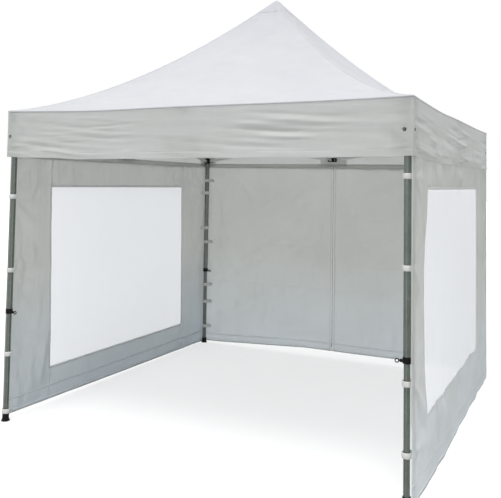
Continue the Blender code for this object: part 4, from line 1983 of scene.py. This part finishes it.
@dataclass
class LegAssembly(Assembly):
    """One telescoping leg with its foot, clamp, pull pin, slider and top bracket."""

    corner: Corner
    ends: BarEnds = BarEnds()
    outer: Triple = (0.040, 0.037, 0.0042)
    outer_span: Spot = (0.7925, 2.236)
    inner: Triple = (0.034, 0.030, 0.0036)
    inner_span: Spot = (0.0083, 1.000)
    broken: float = 0.0004
    collar_corner: float = 0.0045
    bore_corner: float = 0.003
    hole_radius: float = 0.0040
    hole_step: float = 0.05
    holes: int = 5
    pin_z: float = 0.780
    pin_end: float = 0.046
    eye: Spot = (0.0046, 0.0026)  # its radius, and half its width
    ring: Spot = (0.0103, 0.0031)  # its radius, and its wire's
    ring_hang: Spot = (0.011, 0.0018)
    lug_reach: float = 0.062
    lug_starts: Spot = (0.0213, 0.0242)
    lug_heights: Spot = (0.036, 0.038)
    clamp: tuple[Spot, ...] = (
        (0.0360, 0.7680), (0.0440, 0.7680), (0.0460, 0.7695), (0.0460, 0.7715), (0.0448, 0.7722),
        (0.0448, 0.7732), (0.0460, 0.7740), (0.0460, 0.7900), (0.0448, 0.7907), (0.0448, 0.7917),
        (0.0460, 0.7925), (0.0460, 0.8022), (0.0444, 0.8040), (0.0406, 0.8040), (0.0406, 0.7922),
        (0.0360, 0.7922),
    )
    slider: tuple[Spot, ...] = (
        (0.0406, 1.9530), (0.0444, 1.9530), (0.0460, 1.9545), (0.0460, 1.9590), (0.0446, 1.9600),
        (0.0446, 1.9615), (0.0460, 1.9625), (0.0460, 2.0000), (0.0446, 2.0010), (0.0446, 2.0020),
        (0.0460, 2.0030), (0.0460, 2.0072), (0.0444, 2.0090), (0.0406, 2.0090),
    )
    bracket: tuple[Spot, ...] = (
        (0.0406, 2.1650), (0.0444, 2.1650), (0.0460, 2.1665), (0.0460, 2.1700), (0.0446, 2.1710),
        (0.0446, 2.1725), (0.0460, 2.1735), (0.0460, 2.2320), (0.0446, 2.2330), (0.0446, 2.2342),
        (0.0460, 2.2352), (0.0460, 2.2465), (0.0430, 2.2500), (0.0200, 2.2500), (0.0200, 2.2363),
        (0.0406, 2.2363),
    )
    boss: tuple[Spot, ...] = (
        (0.0215, 0.0036), (0.0215, 0.0098), (0.026, 0.0092), (0.038, 0.0090), (0.0402, 0.0084),
        (0.041, 0.0074), (0.041, 0.0036),
    )
    shaft: tuple[Spot, ...] = ((0.0185, 0.0022), (0.0193, 0.0030), (0.0445, 0.0030), (0.046, 0.0024))
    foot: tuple[Spot, ...] = (
        (0.0275, 0.0), (0.0297, 0.0008), (0.0305, 0.0022), (0.0305, 0.0046), (0.0298, 0.0060),
        (0.0275, 0.0100), (0.0252, 0.0150), (0.0240, 0.0205), (0.0235, 0.0260), (0.0235, 0.0440),
        (0.0229, 0.0450), (0.0229, 0.0465), (0.0235, 0.0475), (0.0235, 0.0505), (0.0222, 0.0520),
    )
    socket: Spot = (0.0520, 0.0080)

    @property
    def axis(self) -> Spot:
        """X and Y of the leg's axis."""
        return (self.corner.value[0] * LEG, self.corner.value[1] * LEG)

    def tube(self, section: Triple, span: Spot) -> Loft:
        """A hexagonal tube with round corners and broken ends.

        Args:
            section: Its width across the flats, its bore's, and the corners' radius.
            span: Its ends' heights.

        Returns:
            The tube.
        """
        across, bore, radius = section
        low, high = span
        outside = rounded_hexagon(across, radius)
        inside = rounded_hexagon(bore, max(radius - (across - bore) / 2, 0.001))
        end = rounded_hexagon(across - 2 * self.broken, radius)
        rows = [(end, low), (outside, low + self.broken)]
        rows += [(outside, z) for z in np.linspace(low, high, 9)[1:-1]]
        rows += [(outside, high - self.broken), (end, high), (inside, high), (inside, low)]
        return upright(rows, self.axis, wear=HEXAGON_WEAR)

    def bore_height_holes(self, tube: Piece) -> None:
        """Bores the holes that the pull pin drops into, in the inner tube's inward flat.

        Args:
            tube: The inner tube.
        """
        rounds = ((0.012, self.hole_radius), (0.020, self.hole_radius))
        heights = [self.pin_z - self.hole_step * setting for setting in range(self.holes)]
        way = -self.corner.value[0]
        drills = [lying(rounds, (*self.axis, z), way, 20) for z in heights]
        cutter = hard_piece("height_hole_cutter", drills)
        step = tube.modifiers.new("holes", "BOOLEAN")
        step.operation = "DIFFERENCE"
        step.solver = "EXACT"
        step.object = cutter
        tube.data = baked(tube)
        bpy.data.objects.remove(cutter)

    def collar(self, profile: Sequence[Spot]) -> Loft:
        """A moulded hexagonal collar round the leg.

        Args:
            profile: Widths across the flats, and their heights.

        Returns:
            The collar.
        """
        rows = []
        for across, z in profile:
            in_bore = across < self.outer[0] + 0.001
            rows.append((rounded_hexagon(across, self.bore_corner if in_bore else self.collar_corner), z))
        return upright(rows, self.axis, wear=HEXAGON_WEAR)

    def truss_ways(self, along_x: bool) -> tuple[Array, Array]:
        """The directions inwards along one of the leg's trusses and across it."""
        ways = np.diag(-np.array([*self.corner.value, 0.0]))
        return (ways[0], ways[1]) if along_x else (ways[1], ways[0])

    def lugs(self, layer: int, z: float, height: float) -> list[Loft]:
        """The rounded tongues beside the truss bars that are bolted to them.

        Args:
            layer: Which side of the truss plane they are on.
            z: The bolts' height.
            height: The tongues' height.

        Returns:
            Both tongues.
        """
        near, far = self.ends.thick / 2 - self.ends.layer + 0.0003, self.ends.outside
        lugs = []
        for along_x, start in zip((True, False), self.lug_starts):
            along, across = self.truss_ways(along_x)
            middle = np.array([*self.axis, z]) + along * (start + self.lug_reach) / 2
            outline = rounded_rectangle(self.lug_reach - start, height, 0.007)
            faces = (middle + across * layer * out for out in (near, far))
            lugs.append(extruded(outline, *faces, 0.0007))
        return lugs

    def lug_bolts(self, spots: Lines) -> None:
        """Adds the bolts through this leg's lugs and the truss bars.

        Args:
            spots: What they are added to.
        """
        for layer, z in ((-1, self.ends.low), (1, self.ends.high)):
            for along_x in (True, False):
                along, across = self.truss_ways(along_x)
                pivot = np.array([*self.axis, z]) + along * self.ends.pivot
                for way in (layer, -layer):
                    spots.spot(pivot + across * way * (self.ends.outside + 0.0001), across * way)

    def build_tubes(self, label: str) -> None:
        """Makes the two tubes and the foot.

        Args:
            label: The corner's name.
        """
        outer = hard_piece("outer_tube_" + label, [self.tube(self.outer, self.outer_span)], self.finishes.leg)
        declare(outer, ["outer_leg_" + label])
        inner = hard_piece("inner_tube_" + label, [self.tube(self.inner, self.inner_span)], self.finishes.leg)
        self.bore_height_holes(inner)
        declare(inner, ["inner_leg_" + label], "leg_" + label)
        rows = [(circle(radius), z) for radius, z in self.foot]
        rows += [(rounded_hexagon(self.inner[0] + 0.0006, self.inner[2]), z) for z in self.socket]
        solid = upright(rows, self.axis, ring=False)
        foot = hard_piece("moulded_foot_" + label, [solid], self.finishes.plastic)
        declare(foot, ["foot_" + label], "leg_" + label)

    def build_clamp(self, label: str) -> None:
        """Makes the height clamp with its boss, and the pull pin with its ring.

        Args:
            label: The corner's name.
        """
        way = -self.corner.value[0]
        x, y = self.axis
        pin_axis = (x, y, self.pin_z)
        solids = [self.collar(self.clamp), lying(self.boss, pin_axis, way, 24, ring=True)]
        clamp = hard_piece("height_clamp_" + label, solids, self.finishes.plastic)
        declare(clamp, ["clamp_" + label])
        x += way * self.pin_end
        radius, half = self.eye
        eye = extruded(circle(radius, 18), (x, y - half, self.pin_z), (x, y + half, self.pin_z), 0.0006)
        out, down = self.ring_hang
        ring = wire_ring((x + way * out, y, self.pin_z - down), *self.ring)
        solids = [lying(self.shaft, pin_axis, way, 18), eye, ring]
        pin = hard_piece("pull_pin_ring_" + label, solids, self.finishes.dark_steel)
        declare(pin, ["pull_pin_" + label], "pin_" + label)

    def build(self) -> None:
        """Makes every piece of the leg."""
        label = self.corner.label
        self.build_tubes(label)
        self.build_clamp(label)
        low, high = self.lug_heights
        fittings = (
            ("truss_slider_", "slider_", self.slider, self.lugs(-1, self.ends.low, low)),
            ("corner_bracket_", "top_bracket_", self.bracket, self.lugs(1, self.ends.high, high)),
        )
        for name, node, profile, lugs in fittings:
            piece = hard_piece(name + label, [self.collar(profile), *lugs], self.finishes.plastic)
            declare(piece, [node + label])
        log.info("leg %s: tubes, foot, clamp, pull pin, slider and bracket", label)


@dataclass
class StrapSet(Assembly):
    """The webbing straps that tie one wall to one leg."""

    name: str
    wall: HungWall
    corner: Corner
    heights: tuple[float, ...]
    body: str = ROOT
    radius: float = 0.0256
    height: float = 0.032
    thick: float = 0.0014
    sewn_at: float = 0.052
    sewn_in: Spot = (0.0032, 0.0052)  # behind the cloth that it is tied to, and that it slides along
    tail: Spot = (0.050, 0.068)
    clear: float = 0.0050
    bulge: float = 0.055

    def loop(self, z: float, along: Array, out: Array) -> Patch:
        """The loop round the leg of one strap.

        Args:
            z: The strap's middle height.
            along: The direction from the leg along the wall.
            out: The direction out through the wall.

        Returns:
            The patch.
        """
        face = WALL_FACE - LEG - CLOTH / 2
        sewn = np.array([face - self.sewn_in[self.body != ROOT], self.sewn_at])
        base = math.atan2(sewn[1], sewn[0])
        tilt = math.acos(self.radius / float(np.hypot(*sewn)))
        angles = np.linspace(base + tilt, base - tilt + 2.0 * math.pi, 40)
        arc = self.radius * np.stack((np.cos(angles), np.sin(angles)), axis=-1)
        share = np.linspace(0.0, 1.0, 7)[:-1, None]
        path = np.concatenate((sewn + (arc[0] - sewn) * share, arc, (sewn + (arc[-1] - sewn) * share)[::-1]))
        if out[0] * along[1] < out[1] * along[0]:
            path = path[::-1]
        up = np.linspace(-0.5, 0.5, 9)[:, None]
        round_leg = np.linalg.norm(path, axis=1) < self.radius + 0.004
        swell = 1.0 + self.bulge * (1.0 - (2.0 * up) ** 2) * round_leg
        flat = path[:, :1] * out + path[:, 1:] * along
        level = LEG * np.array(self.corner.value) + flat * swell[..., None]
        height = np.broadcast_to(z + up * self.height, swell.shape)
        run = np.concatenate(([0.0], np.cumsum(np.linalg.norm(np.diff(path, axis=0), axis=1))))
        uv = np.stack(np.broadcast_arrays(run, up * self.height), axis=-1)
        return Patch(np.concatenate((level, height[..., None]), axis=-1), uv)

    def straps(self, z: float) -> list[Patch]:
        """The loop round the leg and the sewn tail of one strap.

        Args:
            z: The strap's middle height.

        Returns:
            The patches.
        """
        turned = quarter_turned(np.array([[1.0, 0.0, 0.0], [0.0, -1.0, 0.0]]), self.wall.side)
        along, out = turned[:, :2]
        inward = -float(along @ self.corner.value)
        places = np.sort(inward * (np.linspace(*self.tail, 4) - LEG))
        rows = z + np.linspace(-0.5, 0.5, 9) * self.height
        rests_on = self.wall.surface if self.body == ROOT else self.clear_of_cloth
        tail = region(rests_on, places, rows, -(CLOTH / 2 + 0.0009))
        tail.points = tail.points[:, ::-1]
        tail.uv = tail.uv[:, ::-1].copy()
        return [self.loop(z, inward * along, out), tail]

    def clear_of_cloth(self, a: Array, z: Array) -> Array:
        """A plane inside the wall that its folds don't reach, for a strap that slides along it.

        Args:
            a: Metres along the wall.
            z: Metres above the ground.

        Returns:
            The points.
        """
        a, z = np.broadcast_arrays(a, z)
        points = np.stack((a, np.full(a.shape, self.clear - WALL_FACE), z), axis=-1)
        return quarter_turned(points, self.wall.side)

    def build(self) -> None:
        """Makes all the straps of the set as one piece."""
        patches = [patch for z in self.heights for patch in self.straps(z)]
        straps = cloth_piece(self.name, patches, self.finishes.webbing, self.thick, 1.0)
        declare(straps, body=self.body)
        log.info("%s: %d straps", self.name, len(self.heights))


@dataclass
class Walls(Assembly):
    """The left, right and back walls, the back's zip, and the straps that tie them to the legs."""

    hem: float = 0.020
    back_hem: float = 0.050
    back_edge: float = 1.4962
    zip_edge: float = 0.0155
    back_creases: tuple[float, ...] = (1.402, 1.111, 0.925, 0.688)
    back_hems: tuple[Spot, ...] = (
        (-1.4967, 0.045), (-0.67, 0.062), (-0.29, 0.061), (0.28, 0.066), (1.29, 0.019), (1.4967, 0.012),
    )
    back_straps: tuple[float, ...] = (1.767, 1.095, 0.629, 0.445)

    def left(self) -> HungWall:
        """The left wall, which hangs a little forward.

        Returns:
            The wall, not built yet.
        """
        return HungWall(
            self.shop, "left_wall_cloth", Side.LEFT, "wall_left", -1.4940, 1.452, self.hem, seed=101,
            hem_places=((-1.494, 0.006), (0.0, 0.012), (1.452, 0.024)),
            pulls=((1.452, 1.62), (1.452, 1.084), (1.452, 0.48), (-1.494, 1.63)),
            window=Window(-0.980, 1.000, 0.272, 1.692), window_node="window_left", slant=-0.035, thin=False,
            drags=(
                (1.44, 1.62, 1.16, 1.22, 0.008), (1.44, 1.62, 1.02, 1.46, 0.005),
                (1.44, 1.084, 1.10, 0.74, 0.009), (1.44, 1.084, 1.14, 1.44, 0.006),
                (1.44, 0.48, 1.02, 0.14, 0.008), (1.44, 0.48, 1.14, 0.78, 0.005),
                (-1.48, 1.63, -1.12, 1.30, 0.006), (-1.48, 1.248, -1.10, 0.86, 0.006),
                (0.85, 1.90, 0.30, 1.74, 0.005), (-0.70, 1.90, -0.25, 1.76, 0.005),
            ),
        )

    def right(self) -> HungWall:
        """The right wall, which bows back between its straps and flares at the ground.

        Returns:
            The wall, not built yet.
        """
        return HungWall(
            self.shop, "right_wall_cloth", Side.RIGHT, "wall_right", -1.4955, 1.4940, self.hem, seed=131,
            hem_places=((-1.4955, 0.004), (-0.6, 0.003), (0.4, 0.003), (1.494, 0.004)),
            pulls=((-1.4955, 1.80), (-1.4955, 1.29), (-1.4955, 0.659), (-1.4955, 0.270)),
            window=Window(-1.105, 0.845, 0.405, 1.727), window_node="window_right",
            flare=0.012, flare_at=-0.7, fold_height=0.014, tuck=0.0075, bow=-0.040,
            drags=(
                (-1.46, 1.80, -1.20, 1.50, 0.007), (-1.46, 1.29, -1.18, 0.98, 0.007),
                (-1.46, 0.659, -1.10, 0.34, 0.008), (-1.46, 0.275, -0.70, 0.14, 0.006),
                (1.47, 1.66, 1.10, 1.24, 0.008), (1.47, 1.20, 1.06, 0.70, 0.008),
                (1.46, 0.60, 1.04, 0.22, 0.008), (0.20, 1.88, -0.25, 1.76, 0.006),
            ),
        )

    def back_halves(self) -> tuple[HungWall, ...]:
        """The two halves of the back wall, beside the zip.

        Returns:
            The left one and the right one, not built yet.
        """
        left_drags = (
            (1.40, 1.82, 0.82, 0.30, 0.008), (1.12, 1.82, 0.66, 1.46, 0.007), (0.86, 1.84, 0.50, 1.62, 0.005),
            (1.44, 1.766, 1.10, 1.28, 0.006), (1.44, 1.096, 1.08, 0.54, 0.007),
            (1.44, 0.631, 1.06, 0.16, 0.007), (0.06, 1.80, 0.42, 1.30, 0.004),
        )
        right_drags = (
            (-1.44, 1.766, -0.96, 1.20, 0.006), (-1.44, 1.096, -1.00, 0.52, 0.007),
            (-1.44, 0.631, -0.94, 0.22, 0.006), (-0.98, 1.84, -0.46, 1.50, 0.006),
            (-0.05, 1.80, -0.46, 1.20, 0.004),
        )
        halves = (
            ("left", self.zip_edge, self.back_edge, 161, left_drags),
            ("right", -self.back_edge, -self.zip_edge, 181, right_drags),
        )
        return tuple(
            HungWall(
                self.shop, f"back_{half}_cloth", Side.BACK, "back_wall_" + half, start, end, self.back_hem,
                seed, self.back_hems, drags, creases=self.back_creases, fold_height=0.006,
            )
            for half, start, end, seed, drags in halves
        )

    def build(self) -> None:
        """Hangs the walls and straps them to the legs."""
        left, right = self.left(), self.right()
        back_left, back_right = self.back_halves()
        for wall in (left, right, back_left, back_right):
            wall.build()
        BackZip(self.shop, back_left, back_right).build()
        sets = (
            ("left_wall_front_straps", left, Corner.FRONT_LEFT, (1.62, 1.084, 0.48)),
            ("left_wall_low_strap", left, Corner.FRONT_LEFT, (0.071,), "leg_front_left"),
            ("left_wall_back_straps", left, Corner.BACK_LEFT, (1.631, 1.248)),
            ("right_wall_front_straps", right, Corner.FRONT_RIGHT, (1.80, 1.29, 0.659, 0.275)),
            ("right_wall_back_straps", right, Corner.BACK_RIGHT, (1.66, 1.20)),
            ("back_wall_left_straps", back_left, Corner.BACK_LEFT, self.back_straps),
            ("back_wall_right_straps", back_right, Corner.BACK_RIGHT, self.back_straps),
            ("back_wall_left_low_strap", back_left, Corner.BACK_LEFT, (0.180,), "leg_back_left"),
            ("back_wall_right_low_strap", back_right, Corner.BACK_RIGHT, (0.180,), "leg_back_right"),
        )
        for values in sets:
            StrapSet(self.shop, *values).build()


@dataclass
class Trusses(Assembly):
    """The scissor trusses of the four sides, the crossing ones under the roof, and the mast."""

    legs: Sequence[LegAssembly]
    canopy: Canopy
    ends: BarEnds = BarEnds()
    bolts: Lines = field(default_factory=Lines)
    bar_height: float = 0.026
    bar_radius: float = 0.0026
    bar_chamfer: float = 0.0010
    mid_low: float = 1.995
    mid_high: float = 2.212
    mid_block: Triple = (0.090, 0.034, 0.040)
    mid_shift: float = 0.004
    hub: Triple = (0.076, 0.076, 0.044)
    hub_low: float = 2.005
    hub_high: float = 2.230
    hub_pivot: float = 0.030
    block_radius: float = 0.006
    block_levels: tuple[Spot, ...] = (
        (-0.5, 0.93), (-0.44, 1.0), (-0.12, 1.0), (-0.08, 0.96),
        (0.08, 0.96), (0.12, 1.0), (0.44, 1.0), (0.5, 0.93),
    )
    gap: float = 0.0003  # between a crossing truss's bar and the fitting it ends at
    mast: Spot = (0.032, 0.0034)  # across its flats, and its corners' radius
    mast_levels: tuple[float, ...] = (2.02, 2.3, 2.6, 2.9, 3.20, 3.225)
    cap_under: tuple[Spot, ...] = ((0.0300, 3.203), (0.0330, 3.2045), (0.0520, 3.2190), (0.0550, 3.2220))
    cap_over: tuple[float, ...] = (0.055, 0.050, 0.040, 0.028, 0.016, 0.006)
    cap_gap: float = 0.0036

    def bar(self, side: Side, start: Spot, end: Spot, layer: int, plane: float) -> Loft:
        """A bar between two pivots.

        Args:
            side: Where the front's bar is turned to.
            start: X and Z of the first pivot.
            end: X and Z of the other one.
            layer: Which side of the truss plane it lies on.
            plane: Y of the truss plane.

        Returns:
            The bar.
        """
        pivots = np.array([[x, plane + layer * self.ends.layer, z] for x, z in (start, end)])
        run = pivots[1] - pivots[0]
        over = run / np.linalg.norm(run) * self.bar_height / 2
        outline = rounded_rectangle(self.ends.thick, self.bar_height, self.bar_radius)
        wear = np.tile([0.5, 1.0, 1.0, 0.5], 4)
        loft = extruded(outline, pivots[0] - over, pivots[1] + over, self.bar_chamfer, wear)
        return Loft([quarter_turned(row, side) for row in loft.rows], wear=wear)

    def block(self, side: Side, size: Triple, y: float, z: float) -> Loft:
        """A moulded block with a waist and broken edges, over the middle of a side.

        Args:
            side: Where the front's block is turned to.
            size: Its width, depth and height.
            y: Y of its middle.
            z: Z of its middle.

        Returns:
            The block.
        """
        width, depth, height = size
        rows = []
        for share, grown in self.block_levels:
            outline = rounded_rectangle(width * grown, depth - width * (1 - grown), self.block_radius)
            rows.append((outline, z + share * height))
        loft = upright(rows, (0, y))
        return Loft([quarter_turned(row, side) for row in loft.rows])

    def scissors(
        self, side: Side, plane: float, low: Sequence[Spot], high: Sequence[Spot], layer: int
    ) -> list[Loft]:
        """Two bars that cross, with a bolt where they do.

        Args:
            side: Where the front's bars are turned to.
            plane: Y of the truss plane.
            low: X and Z of both ends of the bar that starts low.
            high: The same for the bar that starts high.
            layer: Which side of the truss plane the first bar lies on.

        Returns:
            Both bars.
        """
        (x1, z1), (x2, z2) = low
        (x3, z3), (x4, z4) = high
        whole = (x2 - x1) * (z3 - z4) - (z2 - z1) * (x3 - x4)
        share = ((x3 - x1) * (z3 - z4) - (z3 - z1) * (x3 - x4)) / whole
        crossing = (x1 + share * (x2 - x1), z1 + share * (z2 - z1))
        self.bolt(side, crossing, plane, (self.ends.outside, self.ends.outside))
        return [self.bar(side, *low, layer, plane), self.bar(side, *high, -layer, plane)]

    def bolt(self, side: Side, at: Spot, plane: float, depths: Spot) -> None:
        """Adds a bolt head and its nut at X and Z, as far from the truss plane as both faces are."""
        for way, depth in zip((1, -1), depths):
            self.bolts.spot((at[0], plane + way * depth, at[1]), (0, way, 0), side)

    def build_side(self, side: Side) -> None:
        """Makes the truss of one side.

        Args:
            side: The side of the tent.
        """
        reach, inner = LEG - self.ends.pivot, self.hub_pivot
        bars = []
        for sign in SIGNS:
            rising = ((sign * reach, self.ends.low), (sign * inner, self.mid_high))
            falling = ((sign * reach, self.ends.high), (sign * inner, self.mid_low))
            bars += self.scissors(side, -LEG, rising, falling, 1)
        metal = hard_piece("truss_bars_" + side.label, bars, self.finishes.truss)
        declare(metal, ["truss_" + side.label])
        levels = (self.mid_low, self.mid_high)
        blocks = [self.block(side, self.mid_block, self.mid_shift - LEG, z) for z in levels]
        fittings = hard_piece("truss_middle_fittings_" + side.label, blocks, self.finishes.plastic)
        declare(fittings, ["truss_" + side.label])
        seat = self.mid_block[1] / 2 - 0.0002
        for z in levels:
            for x in (-inner, inner):
                self.bolt(side, (x, z), -LEG, (seat + self.mid_shift, seat - self.mid_shift))

    def build_centre(self) -> None:
        """Makes the crossing trusses and their hubs."""
        face = LEG - self.mid_shift - self.mid_block[1] / 2

        def run(start: float, end: float) -> Sequence[Spot]:
            """A bar's ends, from just inside a middle fitting to a hub.

            Args:
                start: Z at the fitting.
                end: Z at the hub.

            Returns:
                X and Z of both ends.
            """
            tilt = math.atan2(abs(end - start), face)
            overhang = self.bar_height / 2 * (math.cos(tilt) + math.sin(tilt))
            return (self.gap + overhang - face, start), (-self.hub_pivot, end)

        bars = []
        for side in Side:
            rising, falling = run(self.mid_low, self.hub_high), run(self.mid_high, self.hub_low)
            bars += self.scissors(side, 0.0, rising, falling, -1)
        metal = hard_piece("inner_truss_bars", bars, self.finishes.truss)
        declare(metal, ["inner_truss"])
        hubs = [self.block(Side.FRONT, self.hub, 0.0, z) for z in (self.hub_low, self.hub_high)]
        declare(hard_piece("inner_truss_hubs", hubs, self.finishes.plastic), ["inner_truss"])

    def build_mast(self) -> None:
        """Makes the centre mast and the cap that carries the peak."""
        outline = rounded_hexagon(*self.mast)
        tube = upright([(outline, z) for z in self.mast_levels], (0, 0), ring=False, wear=HEXAGON_WEAR)
        declare(hard_piece("centre_mast", [tube], self.finishes.leg), ["mast"])
        rows = list(self.cap_under)
        rows += [(radius, float(self.canopy.height(radius)) - self.cap_gap) for radius in self.cap_over]
        cap = upright([(circle(radius), z) for radius, z in rows], (0, 0), ring=False)
        declare(hard_piece("mast_cap", [cap], self.finishes.plastic), ["mast"])

    def build(self) -> None:
        """Makes all the trusses, the mast and every bolt."""
        for side in Side:
            self.build_side(side)
        self.build_centre()
        self.build_mast()
        for leg in self.legs:
            leg.lug_bolts(self.bolts)
        self.shop.fasteners.apply("truss_bolts", self.bolts, self.finishes.steel, "truss_metal")
        log.info("trusses: bars, middle fittings, hubs, mast and %d bolt ends", self.bolts.count)


@dataclass
class Studio:
    """The floor, the light and the camera at the photograph's viewing angle."""

    place: Triple = (2.3875, -5.4066, 1.7473)  # where the camera stands
    yaw: float = 25.8084
    pitch: float = 3.0573
    roll: float = 0.9218
    lens: float = 50.828
    sensor: float = 36.0
    shift_up: float = -0.2071
    sky: float = 1.04
    sky_tone: Tone = (0.97, 0.985, 1.0)
    sun: float = 2.3
    sun_tone: Tone = (1.0, 0.995, 0.985)
    sun_from: Triple = (0.06, -0.28, 0.95)
    sun_angle: float = 30.0
    white: Tone = (1.0, 1.0, 1.0)
    floor_reach: float = 80.0
    floor_drop: float = 0.0005
    floor_tone: Tone = (0.40, 0.40, 0.40)
    floor_glow: float = 0.60

    def camera(self) -> None:
        """Places the camera."""
        yaw, pitch, roll = (math.radians(x) for x in (self.yaw, self.pitch, self.roll))
        ahead = Vector((-math.sin(yaw) * math.cos(pitch), math.cos(yaw) * math.cos(pitch), math.sin(pitch)))
        right = ahead.cross(Vector(UP)).normalized()
        up = right.cross(ahead)
        tilted_right = right * math.cos(roll) + up * math.sin(roll)
        tilted_up = up * math.cos(roll) - right * math.sin(roll)
        turn = Matrix((tilted_right, tilted_up, -ahead)).transposed()
        data = bpy.data.cameras.new("camera")
        data.sensor_width = self.sensor
        data.lens = self.lens
        data.shift_y = self.shift_up
        camera = put_in_scene("camera", data)
        camera.matrix_world = Matrix.Translation(self.place) @ turn.to_4x4()
        bpy.context.scene.camera = camera

    def floor(self) -> None:
        """Lays the pale floor."""
        mesh = bpy.data.meshes.new("floor")
        corners = self.floor_reach * np.array([(-1, -1, 0), (1, -1, 0), (1, 1, 0), (-1, 1, 0)])
        mesh.from_pydata(corners.tolist(), [], [(0, 1, 2, 3)])
        made, wiring = blank_material("pale_floor")
        seen = wiring.node("ShaderNodeLightPath").outputs["Is Camera Ray"]
        inputs = {
            "Base Color": rgba(self.floor_tone),
            "Roughness": 0.95,
            "Specular IOR Level": 0.0,
            "Emission Color": rgba(self.white),
            "Emission Strength": wiring.times(seen, self.floor_glow),
        }
        shader = wiring.out("ShaderNodeBsdfPrincipled", inputs)
        wiring.node("ShaderNodeOutputMaterial", {"Surface": shader})
        mesh.materials.append(made)
        floor = put_in_scene("floor", mesh)
        floor.location.z = -self.floor_drop

    def light(self) -> None:
        """Sets the soft light and the white surroundings."""
        world = bpy.data.worlds.new("surroundings")
        bpy.context.scene.world = world
        world.use_nodes = True
        world.node_tree.nodes.clear()
        wiring = Wiring(world.node_tree)
        seen = wiring.node("ShaderNodeLightPath").outputs["Is Camera Ray"]
        soft = wiring.out("ShaderNodeBackground", {"Color": rgba(self.sky_tone), "Strength": self.sky})
        white = wiring.out("ShaderNodeBackground", {"Color": rgba(self.white), "Strength": 1.0})
        mixed = wiring.out("ShaderNodeMixShader", {0: seen, 1: soft, 2: white})
        wiring.node("ShaderNodeOutputWorld", {"Surface": mixed})
        data = bpy.data.lights.new("overhead", "SUN")
        data.energy = self.sun
        data.angle = math.radians(self.sun_angle)
        data.color = self.sun_tone
        sun = put_in_scene("overhead", data)
        sun.rotation_mode = "QUATERNION"
        sun.rotation_quaternion = Vector(self.sun_from).to_track_quat("Z", "Y")

    def build(self) -> None:
        """Sets the stage."""
        self.camera()
        self.floor()
        self.light()
        bpy.context.scene.view_settings.view_transform = "Standard"
        log.info("studio: camera, floor and light")


def main() -> None:
    """Builds the studio and every sub-assembly, in order."""
    logging.basicConfig(level=logging.INFO, format="%(name)s: %(message)s")
    Studio().build()
    shop = Workshop()
    canopy = Canopy(shop)
    legs = [LegAssembly(shop, corner) for corner in Corner]
    for assembly in (canopy, Walls(shop), *legs, Trusses(shop, legs, canopy)):
        assembly.build()


if __name__ == "__main__":
    main()
